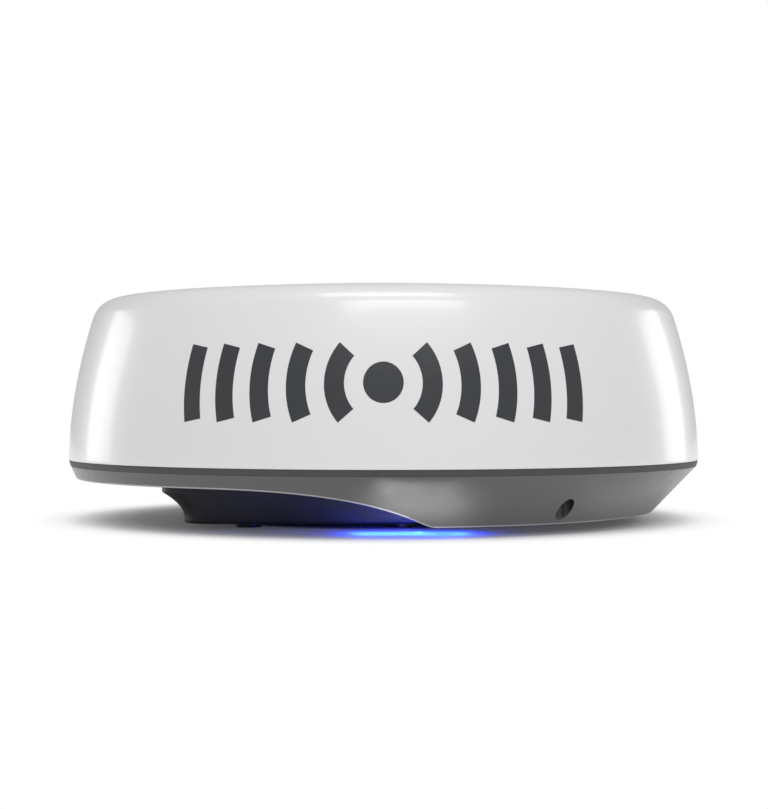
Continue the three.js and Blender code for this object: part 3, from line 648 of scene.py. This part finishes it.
PEDESTAL_REAR, PEDESTAL_FRONT, PEDESTAL_HALF = mm(-183, 75, 150)
PEDESTAL_BOTTOM, PEDESTAL_CORNER, PEDESTAL_WALL = mm(4.7, 24, 4)
FLARE_FROM, FLARE_TO, FLARE_REACH = mm(9, 33, 21)
MOUNT_CENTRE = -54 * MM


def pedestal_ring(height, inset, corner_steps=12):
    """The pedestal's outline at one height. Its rear half widens with the flare."""
    x0, x1 = PEDESTAL_REAR + inset, PEDESTAL_FRONT - inset
    half, radius = PEDESTAL_HALF - inset, PEDESTAL_CORNER - inset
    corners = [(x1 - radius, -half + radius, -pi / 2), (x1 - radius, half - radius, 0),
               (x0 + radius, half - radius, pi / 2), (x0 + radius, -half + radius, pi)]
    rise = min(1, max(0, (height - FLARE_FROM) / (FLARE_TO - FLARE_FROM)))
    ring = []
    for x, y, start in corners:
        for angle in np.linspace(start, start + pi / 2, corner_steps + 1):
            px, py = x + radius * cos(angle), y + radius * sin(angle)
            share = max(0, (MOUNT_CENTRE - px) / (MOUNT_CENTRE - x0))
            ring.append((px - FLARE_REACH * rise ** 2 * share, py, height))
    return ring


def make_pedestal():
    edge, floor = 2.2 * MM, PEDESTAL_BOTTOM + PEDESTAL_WALL
    rings = [pedestal_ring(PEDESTAL_BOTTOM + edge * (1 - cos(a)), edge * (1 - sin(a)))
             for a in np.linspace(0, pi / 2, 6)]
    rings += [pedestal_ring(z, 0) for z in np.linspace(FLARE_FROM, RECESS_CEILING + 0.3 * MM, 22)]
    shell = mesh_object(*skin(rings), BLACK)
    hollow = [pedestal_ring(z, PEDESTAL_WALL) for z in np.linspace(floor, 60 * MM, 14)]
    cable_bay = block((-230 * MM, -60 * MM, floor), mm(-150, 60, 60))
    carve(shell, [mesh_object(*skin(hollow)), cable_bay])
    pads = [(MOUNT_CENTRE + x, y) for x, y in corner_places(70.75, 116.5)]
    carve(shell, rods(pads, 14 * MM, PEDESTAL_BOTTOM, 19 * MM), "UNION")
    under_housing = skirt_body(60 * MM, 0, 0.3 * MM, 0.5 * MM, 96, (2, 2, 40))
    well_room = block(WELL_LOW - HOUSING_WALL - 0.3 * MM, WELL_HIGH)
    insert_holes = rods(pads, *mm(7.5, 0, 17.3))
    counterbores = rods(PEDESTAL_SCREWS, *mm(4.8, 0, 7.4))
    screw_bores = rods(PEDESTAL_SCREWS, *mm(2.5, 7.1, 11))
    clamp_holes = rods([mm(-179, y) for y in (-46, 46)], *mm(2.3, 0, 10))
    carve(shell, [under_housing, well_room, *insert_holes, *counterbores, *screw_bores, *clamp_holes])
    smooth(shell, 40)
    stand_for(shell, "pedestal_base", "pedestal_shell")


# ------ helpers for the smaller pieces
# From here on, sizes passed to these helpers are in millimetres.

EXTRUDE_AXES = {
    "X": ((0, 1, 0), (0, 0, 1), (1, 0, 0)),
    "Y": ((1, 0, 0), (0, 0, 1), (0, -1, 0)),
    "Z": ((1, 0, 0), (0, 1, 0), (0, 0, 1)),
}


def turned(outline, material=None, at=(0, 0), sides=64, ease=0.3):
    """Turns (radius, height) points about a vertical axis at a place, easing the corners."""
    eases = [ease if radius > 0 else 0 for radius, _ in outline]
    points = [(radius * MM, height * MM) for radius, height in rounded(outline, eases, 2)]
    return revolve(points, sides, material, at=(at[0] * MM, at[1] * MM))


def disc(radius, at=(0, 0), sides=32):
    return around(sides, radius, at)


def discs(radius, places, sides=32):
    return [disc(radius, at, sides) for at in places]


def oblong(u0, u1, v0, v1, radius=0.0, steps=4):
    corners = [(u0, v0), (u1, v0), (u1, v1), (u0, v1)]
    return rounded(corners, radius, steps) if radius else corners


def pad(u, v, half_u, half_v, radius=0.0):
    """A rectangle about its centre."""
    return oblong(u - half_u, u + half_u, v - half_v, v + half_v, radius)


def prism(outline, low, high, material=None, edge=0.0, along="Z"):
    """Extrudes an outline between two distances along an axis. It is drawn in XY, YZ or XZ."""
    area = sum(a[0] * b[1] - b[0] * a[1] for a, b in zip(outline, outline[1:] + outline[:1]))
    outline = outline if area > 0 else outline[::-1]
    low, high = (-high, -low) if along == "Y" else (low, high)
    vertices, faces = skin([[(u, v, w) for u, v in outline] for w in (low, high)])
    piece = mesh_object(np.array(vertices) @ np.array(EXTRUDE_AXES[along]) * MM, faces, material)
    if edge:
        bevel(piece, edge * MM)
    return piece


def drill(piece, outlines, low, high, along="Z"):
    """Cuts each outline through piece between two distances along an axis."""
    carve(piece, [prism(outline, low, high, along=along) for outline in outlines])
    smooth(piece)
    return piece


def bolt_heads(places, radius, low, high, key, floor, edge=0.3, sides=24):
    """Steel heads standing on a face, each with a hexagon socket down to its floor."""
    heads = [prism(disc(radius, at, sides), low, high, STEEL, edge) for at in places]
    return [drill(head, [disc(key, at, 6)], floor, high + 1) for head, at in zip(heads, places)]


def screw(node, head, shank, key, thread=None):
    """A socket-head screw standing for node. head is (radius, face, seat), shank is (radius, end)."""
    (head_radius, face, seat), (radius, end), at = head, shank, place_of(node)
    up = 1 if end > seat else -1
    outline = [(0, face), (head_radius, face), (head_radius, seat), (radius, seat)]
    if thread:
        pitch, depth = thread
        for i in range(int((abs(end - seat) - 2) / pitch)):
            level = seat + up * (1.5 + i * pitch)
            outline += [(radius, level), (radius - depth, level + up * pitch / 2)]
    outline += [(radius, end - up * 0.5), (radius - 0.6, end), (0, end)]
    piece = turned(outline[::up], STEEL, at, 32, 0.0 if thread else 0.25)
    low, high = sorted((face - up, face + up * abs(seat - face) * 0.62))
    drill(piece, [disc(key / sqrt(3), at, 6)], low, high)
    stand_for(piece, node)


# ------ fasteners

def make_screws():
    for number in range(1, 9):
        screw(f"radome_screw_{number}", (5, 42.5, 47), (1.6, 72), 5, thread=(0.7, 0.25))
    for number in range(1, 5):
        screw(f"pedestal_screw_{number}", (4.3, 5.2, 7.1), (2, 13.4), 3)
        screw(f"chassis_screw_{number}", (4, 56.5, 53.3), (2, 38), 3)
    for number in (1, 2):
        screw(f"motor_screw_{number}", (2.8, 56, 53.3), (1.5, 41.7), 2.5)
        screw(f"clamp_screw_{number}", (4, 20, 17.3), (2, 5.6), 3)


def make_mount_inserts():
    """Threaded inserts, whose flanges are the pads that the dome stands on."""
    pitch, crest, root = 1.25, 3.4, 4.0
    thread = []
    for level in np.arange(16, 1.2, -pitch):
        thread += [(root, level), (crest, level - 0.62)]
    outline = [(3.9, 0), (12, 0), (12, 4.4), (7, 4.4), (7, 17), (root, 17), *thread]
    for number in range(1, 5):
        node = f"mount_insert_{number}"
        stand_for(turned(outline, BLACKENED, place_of(node), 64, 0.15), node)


# ------ cable bay

SOCKET_Y, SOCKET_HEIGHT = 24, 27


def make_socket(node, y, mouth, pin_radius, pins):
    """A bulkhead inlet with a knurled collar, its pins standing in an open mouth."""
    back, wall, collar, face = 134, 144.3, 147.3, 158.3
    outline = [(0, back), (11.5, back), (11.5, wall), (13.5, wall), (13.5, collar), (11.5, collar),
               (11.5, face), (0, face)]
    body = turned(outline, PLASTIC, sides=72, ease=0.4)
    place = Matrix.Translation(mm(0, y, SOCKET_HEIGHT))
    body.data.transform(place @ Matrix.Rotation(-pi / 2, 4, "Y"))
    drill(body, [mouth], -160, -146, "X")
    drill(body, discs(0.9, around(24, 13.7, (y, SOCKET_HEIGHT)), 8), -148, -143, "X")
    stand_for(body, node)
    contacts = [prism(disc(pin_radius, at, 16), -153, -146.2, GOLD, 0.2, "X") for at in pins]
    trim(node + "_contacts", contacts)


def make_sockets():
    middle = (SOCKET_Y, SOCKET_HEIGHT)
    make_socket("power_socket", SOCKET_Y, disc(8.5, middle, 48), 0.9, around(4, 4.6, middle, TAU / 8))
    make_socket("network_socket", -SOCKET_Y, pad(-SOCKET_Y, SOCKET_HEIGHT, 7, 6, 1.2), 0.35,
                [(-SOCKET_Y - 4.9 + 1.4 * i, 29.5) for i in range(8)])


def make_cable_clamp():
    """A bar with two saddles for the cables, each with gripping ridges."""
    top, saddles = 17, (SOCKET_Y, -SOCKET_Y)
    bar = prism(oblong(-186, -172, -54, 54, 3), 9, top, PLASTIC, 0.8)
    drill(bar, [disc(5, (y, top), 48) for y in saddles], -190, -168, "X")
    for x in (-183, -179, -175):
        drill(bar, [disc(5.5, (y, top), 48) for y in saddles], x - 0.7, x + 0.7, "X")
    drill(bar, [disc(2.3, (-179, y), 24) for y in (46, -46)], 8, 18)
    stand_for(bar, "cable_clamp")


def make_vent():
    at = place_of("pressure_vent")
    cap = turned([(0, 39), (9, 39), (9, 41.7), (4.5, 41.7), (4.5, 50), (0, 50)], PLASTIC, at, ease=0.5)
    slots = [disc(0.8, place, 12) for place in around(6, 3, at) + around(12, 6, at)]
    drill(cap, slots, 38, 40.2)
    stand_for(cap, "pressure_vent")


# ------ accent lights

def make_accent_lights():
    x, half_length, board_top = 52, 30, 17.8
    for label, side in (("port", -1), ("starboard", 1)):
        y = side * 206
        lens = prism(pad(x, y, 8, half_length, 2), 8.8, 14.3, LENS, 0.7)
        lip = prism(pad(x, y, 11, half_length + 3, 3), 14.31, 15.8, LENS, 0.4)
        stand_for(join([lens, lip]), f"accent_lens_{label}")
        board = prism(pad(x, y, 9, half_length + 1, 1.5), 16.2, board_top, BOARD, 0.1)
        stand_for(board, f"light_board_{label}")
        plug = prism(pad(x, y, 5, 5, 0.6), board_top, 23, NYLON, 0.3)
        drill(plug, [pad(x, y, 3.8, 3.8, 0.4)], 19, 24)
        trim(f"light_plug_{label}", [plug])
        chips = [prism(pad(x, y + shift, 2, 1.6), board_top, 18.9, CHIP, 0.15)
                 for shift in (-22, -13, 13, 22)]
        trim(f"light_drivers_{label}", chips)


# ------ drive

MOTOR_AXIS = (72, 0)
MOTOR_SCREWS = ((56.5, -15.5), (87.5, 15.5))


def gear_outline(teeth, module, start):
    """A gear's outline with curved flanks. start is the angle of one tooth's middle."""
    pitch_radius, pitch = module * teeth / 2, TAU / teeth
    root, tip = pitch_radius - 1.2 * module, pitch_radius + 0.9 * module
    flank = [(root + (tip - root) * t, (0.33 - 0.22 * t + 0.045 * sin(pi * t)) * pitch)
             for t in np.linspace(0, 1, 6)]
    points = []
    for tooth in range(teeth):
        middle = start + tooth * pitch
        for radius, turn in [(r, middle - t) for r, t in flank] + [(r, middle + t) for r, t in flank[::-1]]:
            points.append((radius * cos(turn), radius * sin(turn)))
    return points


def make_gears():
    gear = prism(gear_outline(60, 2, pi / 60), 60.3, 66.3, ACETAL)
    drill(gear, [disc(14, sides=64), *discs(10, around(6, 41), 40)], 60, 67)
    carve(gear, [turned([(31, 65), (52.5, 65), (52.5, 67), (31, 67)], sides=96, ease=0.4)])
    smooth(gear)
    stand_for(gear, "drive_gear")

    pinion = prism(gear_outline(12, 2, pi), 59, 66.6, STEEL)
    pinion.data.transform(Matrix.Translation(mm(*MOTOR_AXIS, 0)))
    collar = turned([(0, 66.6), (7, 66.6), (7, 67.8), (0, 67.8)], STEEL, MOTOR_AXIS, 48, 0.2)
    carve(pinion, [collar], "UNION")
    drill(pinion, [disc(2.8, MOTOR_AXIS, 32)], 58, 69)
    stand_for(pinion, "motor_pinion", "pinion")
    stand_for(prism(disc(2.5, MOTOR_AXIS, 32), 44.4, 69, STEEL, 0.3), "motor_shaft")


def make_hub():
    hub = turned([(8, 20), (12, 20), (12, 57.6), (30, 57.6), (30, 60), (8, 60)], STEEL, ease=0.4)
    drill(hub, discs(1.6, around(6, 24), 16), 57, 61)
    stand_for(hub, "hub_shaft")
    clip = turned([(12.3, 20.3), (15.5, 20.3), (15.5, 21.7), (12.3, 21.7)], STEEL, ease=0.15)
    stand_for(clip, "retaining_ring")


def make_bearings():
    """Two ball bearings, each with a seal set in between its races, and the housing that carries them."""
    for node, low in (("lower_bearing", 22), ("upper_bearing", 50.3)):
        high = low + 7
        races = [(12.3, low), (14.3, low), (14.6, low + 0.5), (16.7, low + 0.5), (17, low), (19, low),
                 (19, high), (17, high), (16.7, high - 0.5), (14.6, high - 0.5), (14.3, high), (12.3, high)]
        stand_for(turned(races, STEEL, ease=0.1), node)
    carrier = turned([(16.3, 29.3), (19.3, 29.3), (19.3, 22), (24, 22), (24, 53.3), (38, 53.3), (38, 57.3),
                      (19.3, 57.3), (19.3, 50), (16.3, 50)], ALUMINIUM, sides=96, ease=0.4)
    bolts = around(6, 33.5, start=TAU / 12)
    drill(carrier, discs(2.6, bolts, 24), 55, 58)
    stand_for(carrier, "bearing_housing")
    trim("bearing_housing_bolts", bolt_heads(bolts, 2.4, 55.02, 57, 1.4, 56))


def make_motor():
    """A square motor: a stack of laminations between two end bells."""
    lower = prism(pad(*MOTOR_AXIS, 21, 21, 4), 18.5, 26, ALUMINIUM, 0.6)
    upper = prism(pad(*MOTOR_AXIS, 21, 21, 4), 41, 49.7, ALUMINIUM, 0.6)
    pilot = turned([(2.8, 49.7), (11, 49.7), (11, 51.7), (2.8, 51.7)], ALUMINIUM, MOTOR_AXIS)
    sheets = [prism(pad(*MOTOR_AXIS, 20.4, 20.4, 5), z, z + 1.28, MOTOR, 0.1)
              for z in 26.02 + 1.5 * np.arange(10)]
    drill(upper, discs(1.8, MOTOR_SCREWS, 20), 41, 50)
    drill(upper, [disc(2.8, MOTOR_AXIS, 32)], 44, 50)
    stand_for(join(sheets), "motor_body")
    trim("motor_end_bells", [lower, upper, pilot])
    plug = prism(oblong(64, 80, 21, 27, 0.5), 20, 26, NYLON, 0.3)
    drill(plug, [oblong(65, 79, 22.2, 25.8)], 22, 27)
    trim("motor_plug", [plug])


def make_chassis():
    plate = prism(disc(132, sides=192), 50, 53, ALUMINIUM)
    ears = [place_of(f"chassis_screw_{number}") for number in range(1, 5)]
    carve(plate, [prism(disc(9, at, 32), 50, 53) for at in ears], "UNION")
    motor_holes = discs(2, MOTOR_SCREWS, 20)
    windows = ((-88, 0), (-20, 92), (-20, -92))
    slots = [pad(x, y, 9, 2.5, 2.4) for x in (70, 105) for y in (-70, -60, 60, 70)]
    drill(plate, [disc(24.4, sides=64), disc(11.4, MOTOR_AXIS, 40), *motor_holes,
                  *discs(24, windows, 64), *slots, *discs(2.4, ears, 20)], 49, 54)
    bevel(plate, 0.4 * MM)
    stand_for(plate, "chassis_plate")
    beads = [turned([(26, 53.02), (30, 53.02), (28.8, 54.3), (27.2, 54.3)], ALUMINIUM, at) for at in windows]
    trim("chassis_beads", beads)
    sensor = prism(oblong(-56, -42, -5, 5, 0.8), 53.3, 58.7, PLASTIC, 0.3)
    drill(sensor, [oblong(-52, -46, -6, 6)], 55.5, 60)
    stand_for(sensor, "position_sensor")


# ------ rotating antenna

def make_coupler():
    """The fixed stem of the rotary coupler, and the cap that turns over it."""
    stem = turned([(0, 14.3), (18, 14.3), (18, 17.3), (5, 17.3), (5, 76), (0, 76)], ALUMINIUM)
    drill(stem, discs(1.7, around(4, 13), 16), 14, 18)
    stand_for(stem, "coupler_stem")
    cap = turned([(0, 78), (5.6, 78), (5.6, 70.9), (16, 70.9), (16, 74.5), (14, 74.5), (14, 76), (16, 76),
                  (16, 84), (0, 84)], ALUMINIUM, sides=96)
    drill(cap, discs(0.7, around(40, 16.1), 8), 76.6, 83.4)
    stand_for(cap, "coupler_cap")
    spigot = [(0, 84.02), (4, 84.02), (4, 86), (3.2, 86), (3.2, 90), (0, 90)]
    trim("coupler_plug", [turned(spigot, GOLD, sides=32, ease=0.2)], "antenna")


def make_turntable():
    table = turned([(9, 66.6), (56, 66.6), (56, 70.6), (9, 70.6)], ALUMINIUM, sides=128, ease=0.5)
    drill(table, discs(4, around(8, 49, start=TAU / 16), 24), 66, 71)
    stand_for(table, "turntable")
    heads = bolt_heads(around(6, 24, start=TAU / 12), 3.2, 70.62, 73, 1.8, 71.5, 0.35)
    trim("turntable_bolts", heads, "antenna")


BRACKET = [(-1.5, 70.9), (56, 70.9), (56, 74.9), (22, 104), (0, 152), (-10.7, 152), (-10.7, 91.3),
           (-1.5, 91.3)]


def make_brackets():
    """Two upright webs that carry the array, each with a foot, a tab and their bolts on its inner side."""
    outline = rounded(BRACKET, [1, 3, 3, 8, 4, 1, 0.5, 1], 5)
    windows = [disc(8, (12, 88), 40), disc(5.5, (4, 112)), disc(3.5, (-1, 132), 24), disc(4, (34, 80.5), 24)]
    for node, low, inward in (("left_bracket", -50, 1), ("right_bracket", 46, -1)):
        web = prism(outline, low, low + 4, ALUMINIUM, 0.4, "X")
        stand_for(drill(web, windows, low - 1, low + 5, "X"), node)
        inner = low + 4 if inward > 0 else low
        near, far = sorted((inner + inward * 0.02, inner + inward * 11))
        foot = prism(oblong(near, far, 3, 30, 2), 70.9, 73.1, ALUMINIUM, 0.3)
        tab = prism(oblong(near, far, 96, 146, 2), -10.6, -8.6, ALUMINIUM, 0.3, "Y")
        trim(node + "_feet", [foot, tab], "antenna")
        middle = (near + far) / 2
        bolts = [prism(disc(2.6, (middle, y), 24), 73.12, 75.2, STEEL, 0.35) for y in (9, 24)]
        bolts += [prism(disc(2.4, (middle, z), 24), -8.58, -6.6, STEEL, 0.35, "Y") for z in (105, 137)]
        trim(node + "_bolts", bolts, "antenna")


def make_counterweight():
    section = rounded([(38, 70.9), (62, 70.9), (62, 82.9), (56, 88.9), (38, 88.9)], 1.5, 3)
    weight = prism(section, -30, 30, STEEL, 0.6, "X")
    bolts = [(x, 47) for x in (-20, 20)]
    stand_for(drill(weight, discs(4.2, bolts), 84, 90), "counterweight")
    heads = bolt_heads(bolts, 3.8, 84.02, 88, 2.3, 86, 0.4, 32)
    trim("counterweight_bolts", heads, "antenna")


def make_array():
    """The antenna array: a channel, the board in front of it, and a snap-on cover."""
    channel = rounded([(-14, 88), (-2, 88), (-2, 91), (-11, 91), (-11, 181), (-2, 181), (-2, 184),
                       (-14, 184)], [0.5, 1, 1, 2, 2, 1, 1, 0.5], 3)
    rail = prism(channel, -262, 262, ALUMINIUM, along="X")
    columns = [side * x for side in (-1, 1) for x in (84, 132, 180, 228)]
    drill(rail, [pad(x, z, 19, 9, 4) for x in columns for z in (110, 136, 162)], -15, -10, "Y")
    notches = [disc(3, (x, -6), 24) for x in range(-240, 241, 60)]
    for low, high in ((87, 92), (180, 185)):
        drill(rail, notches, low, high)
    stand_for(rail, "array_frame")
    stand_for(prism(oblong(-256, 256, 94, 178, 3), -17.3, -14.3, BOARD, 0.15, "Y"), "array_board")

    shell = prism(oblong(-262, 262, 88, 184, 7, 6), -34, -14.3, COVER, along="Y")
    bevel(shell, 3.2 * MM, 5)
    room = prism(oblong(-260, 260, 90, 182, 5), -32, -10, along="Y")
    rebate = prism(oblong(-252, 252, 98, 174, 4), -36, -33.3, along="Y")
    clip_columns = range(-220, 221, 88)
    catches = [block(mm(x - 7, -20, z), mm(x + 7, -14, z + 1.4)) for x in clip_columns for z in (87.2, 183.4)]
    carve(shell, [room, rebate, *catches])
    smooth(shell, 30)
    stand_for(shell, "array_cover")
    clips = [prism(oblong(x - 5, x + 5, -19, -6, 1), z, z + 0.9, STEEL, 0.2)
             for x in clip_columns for z in (87.1, 184.02)]
    trim("array_clips", clips, "antenna")


def make_transceiver():
    can = prism(oblong(-38, 38, 98, 168, 2), -10.7, 7.3, TINNED, 0.8, "Y")
    carve(can, [prism(oblong(-37.2, 37.2, 98.8, 167.2, 1.5), -12, 6.4, along="Y")])
    drill(can, [disc(1.3, (x, z), 16) for x in range(-24, 25, 6) for z in range(112, 137, 6)], 5, 8, "Y")
    stand_for(can, "transceiver_shield")
    rib = prism(oblong(-30, 30, 148, 156, 3.5, 5), 7.32, 8.4, TINNED, 0.5, "Y")
    trim("transceiver_rib", [rib], "antenna")
    posts = [prism(disc(2.2, (x, z), 24), 7.32, 9, STEEL, 0.3, "Y") for x in (-33, 33) for z in (103, 163)]
    trim("transceiver_screws", posts, "antenna")


# ------ electronics in the housing

BOARD_FACE = 25.62
BOARD_SCREWS = [(x, y) for x in (112, 230) for y in (-78, 78)] + [(112, 0), (230, 0)]
BOARD_CHIPS = ((212, -28, 13, 22), (210, 12, 9, 14), (214, 40, 7, 10), (130, 52, 7, 10), (160, 62, 9, 14))


def make_main_board():
    board = prism(oblong(106, 236, -84, 84, 3), 24, 25.6, BOARD, 0.15)
    stand_for(drill(board, discs(1.7, BOARD_SCREWS, 20), 23, 27), "main_board")
    spacers = [prism(disc(3.4, at, 6), 14.05, 23.98, BRASS, 0.2) for at in BOARD_SCREWS]
    trim("board_spacers", spacers)
    heads = bolt_heads(BOARD_SCREWS, 2.9, BOARD_FACE, 27.6, 1.5, 26.6)
    trim("board_screws", heads)

    can = prism(oblong(116, 186, -60, 30, 2), 25.9, 43.9, TINNED, 0.8)
    carve(can, [prism(oblong(116.8, 185.2, -59.2, 29.2, 1.5), 24, 43.1)])
    drill(can, [disc(1.5, (x, y), 16) for x in range(124, 180, 6) for y in range(-50, 21, 7)], 42, 45)
    stand_for(can, "power_shield")


def on_board(outline, height, material, edge=0.0, lift=0.0):
    return prism(outline, BOARD_FACE + lift, BOARD_FACE + height, material, edge)


def make_chips():
    chips, legs = [], []
    for x, y, half, pins in BOARD_CHIPS:
        chips.append(on_board(pad(x, y, half, half, 0.6), 2.4, CHIP, 0.25, 0.4))
        for i in range(pins):
            shift = (i - (pins - 1) / 2) * (2 * half - 1.6) / pins
            for reach in (-half - 0.6, half + 0.6):
                legs.append(on_board(pad(x + shift, y + reach, 0.22, 0.9), 0.7, TINNED))
                legs.append(on_board(pad(x + reach, y + shift, 0.9, 0.22), 0.7, TINNED))
    trim("board_chips", chips)
    trim("board_chip_legs", legs)


def make_small_parts():
    """Chip resistors and capacitors, scattered where nothing larger stands."""
    taken = [(x, y, half) for x, y, half, _ in BOARD_CHIPS] + [(230, 0, 3), (224, 62, 10), (224, -62, 10)]
    random = np.random.default_rng(7)
    parts = []
    for _ in range(150):
        x, y = random.uniform(190, 232), random.uniform(-72, 72)
        if any(max(abs(x - cx), abs(y - cy)) < half + 3 for cx, cy, half in taken):
            continue
        wide, deep = random.choice([(1.6, 0.8), (0.8, 1.6), (2.0, 1.2)])
        parts.append(on_board(pad(x, y, wide / 2, deep / 2), 0.8, CERAMIC))
    trim("board_small_parts", parts)


def make_large_parts():
    """Capacitors, coils and plugs on the open part of the main board."""
    cans = []
    for x, y, radius, top in ((124, 40, 5, 38), (137, 38, 4, 36), (150, 40, 5, 38), (176, 44, 6, 41),
                              (196, -66, 5, 38)):
        outline = [(0, BOARD_FACE), (radius, BOARD_FACE), (radius, BOARD_FACE + 1.2),
                   (radius - 0.4, BOARD_FACE + 1.8), (radius, BOARD_FACE + 2.4), (radius, top), (0, top)]
        cans.append(turned(outline, CAPACITOR, (x, y), 32))
    trim("board_capacitors", cans)
    coils = [on_board(pad(x, y, 6, 6, 2), 6, MOTOR, 0.6) for x, y in ((134, -70), (152, -72), (172, -72))]
    trim("board_coils", coils)
    plugs = []
    for x, y, half_x, half_y in ((224, 62, 7, 7), (224, -62, 7, 7), (193, 72, 13, 4)):
        plug = on_board(pad(x, y, half_x, half_y, 0.5), 8, NYLON, 0.3)
        plugs.append(drill(plug, [pad(x, y, half_x - 1, half_y - 1)], BOARD_FACE + 2, BOARD_FACE + 9))
    trim("board_plugs", plugs)


# ------ stage

STUDIO_GREY = 0.42
# (distance from the object's middle in metres, how far the floor's own glow has taken over there). The glow's
# fall towards the object paints the soft edge of its shadow, and the low levels near the middle paint a faint
# lift of light under it.
FLOOR_GLOW = [(0.165, 0.0), (0.188, 0.05), (0.25, 0.07), (0.275, 0.17), (0.295, 0.38), (0.32, 0.78),
              (0.35, 1.0)]


def stage_material():
    """White floor that glows evenly away from the object, so that only the ground near it takes shadows. The
    glow fades in towards the object, which paints the soft edge of that shadow.
    """
    made = Material("stage_white", (0.92, 0.92, 0.92), 0.6)
    length = made.node("ShaderNodeVectorMath", operation="DISTANCE")
    # The glow is centred a little behind the object's middle, so the painted shadow edge sits there too.
    length.inputs[1].default_value = (0, 0.03, 0)
    made.link(made.node("ShaderNodeNewGeometry").outputs["Position"], length.inputs[0])
    reach = made.node("ShaderNodeValToRGB")
    for _ in FLOOR_GLOW[2:]:
        reach.color_ramp.elements.new(0.5)
    for element, (distance, level) in zip(reach.color_ramp.elements, FLOOR_GLOW):
        element.position = distance
        element.color = (level, level, level, 1)
    made.link(length.outputs["Value"], reach.inputs["Fac"])
    glow = made.node("ShaderNodeEmission", Strength=1.0)
    mix = made.node("ShaderNodeMixShader")
    for source, target in zip((reach.outputs["Color"], made.shader.outputs[0], glow.outputs[0]), mix.inputs):
        made.link(source, target)
    output = next(n for n in made.tree.nodes if n.type == "OUTPUT_MATERIAL")
    made.link(mix.outputs[0], output.inputs["Surface"])
    return made.material


def make_world():
    """White behind the object, and a softer grey all round for its light and reflections."""
    world = bpy.data.worlds.new("studio")
    bpy.context.scene.world = world
    world.use_nodes = True
    tree = world.node_tree
    background = next(n for n in tree.nodes if n.type == "BACKGROUND")
    path = tree.nodes.new("ShaderNodeLightPath")
    strength = tree.nodes.new("ShaderNodeMapRange")
    strength.inputs["To Min"].default_value = STUDIO_GREY
    tree.links.new(path.outputs["Is Camera Ray"], strength.inputs["Value"])
    tree.links.new(strength.outputs["Result"], background.inputs["Strength"])
    background.inputs["Color"].default_value = (1, 1, 1, 1)


def area_light(name, place, target, size, power, colour=(1, 1, 1)):
    light = bpy.data.lights.new(name, "AREA")
    light.shape = "RECTANGLE"
    light.size, light.size_y = size
    light.energy = power
    light.color = colour
    obj = add_object(name, light)
    obj.location = place
    obj.rotation_euler = (Vector(target) - Vector(place)).to_track_quat("-Z", "Y").to_euler()
    return obj


def small_light(*settings, spread=180):
    """A light close to the object, out of the camera's sight."""
    light = area_light(*settings)
    light.data.spread = radians(spread)
    light.visible_camera = False


def make_lights():
    middle = (0, 0, 0.1)
    area_light("overhead", (0.03, -0.62, 1.6), (0.03, -0.4, 0), (0.95, 0.42), 7)
    area_light("front", (0.3, -2.05, 1.95), middle, (1.9, 0.5), 20)
    area_light("left_rim", (-1.4, 0.55, 0.28), middle, (0.5, 0.72), 3.5)
    area_light("right_rim", (1.35, 0.7, 0.28), middle, (0.5, 0.72), 3.2)
    for turn, width, power in ((0.11, 0.08, 0.031), (0.85, 0.12, 0.009)):
        x, y = sin(turn), -cos(turn)
        small_light("low_front", (0.325 * x, 0.325 * y, 0.004), (0.285 * x, 0.285 * y, 0.027), (width, 0.006),
                    power, spread=75)
    for side in (-1, 1):
        small_light("accent_glow", (0.024, side * 0.2, 0.0088), (0.024, side * 0.2, 0), (0.1, 0.04), 0.25,
                    (0.01, 0.045, 1))
        small_light("accent_spill", (0.035, side * 0.185, 0.009), (-0.2, side * 0.165, 0.012), (0.01, 0.03),
                    0.12, (0.005, 0.03, 1))
        small_light("accent_wash", (-0.06, side * 0.2, 0.007), (-0.11, side * 0.15, 0.032), (0.12, 0.004),
                    0.012, (0.01, 0.03, 1), spread=60)


def make_floor():
    corners = [(-8, -5, 0), (8, -5, 0), (8, 12, 0), (-8, 12, 0)]
    floor = mesh_object(corners, [(0, 1, 2, 3)], stage_material())
    floor.name = "floor"


def make_camera():
    camera = bpy.data.cameras.new("camera")
    camera.lens = 73.94
    obj = add_object("camera", camera)
    obj.location = mm(0.5, -1657, 113.3)
    obj.rotation_euler = (pi / 2, 0, 0)
    bpy.context.scene.camera = obj


bpy.context.scene.view_settings.view_transform = "Standard"
make_camera()
make_floor()
make_world()
make_lights()
make_radome()
make_printed_waves()
make_band()
make_housing()
make_pedestal()
make_screws()
make_mount_inserts()
make_sockets()
make_cable_clamp()
make_vent()
make_accent_lights()
make_gears()
make_hub()
make_bearings()
make_motor()
make_chassis()
make_coupler()
make_turntable()
make_brackets()
make_counterweight()
make_array()
make_transceiver()
make_main_board()
make_chips()
make_small_parts()
make_large_parts()
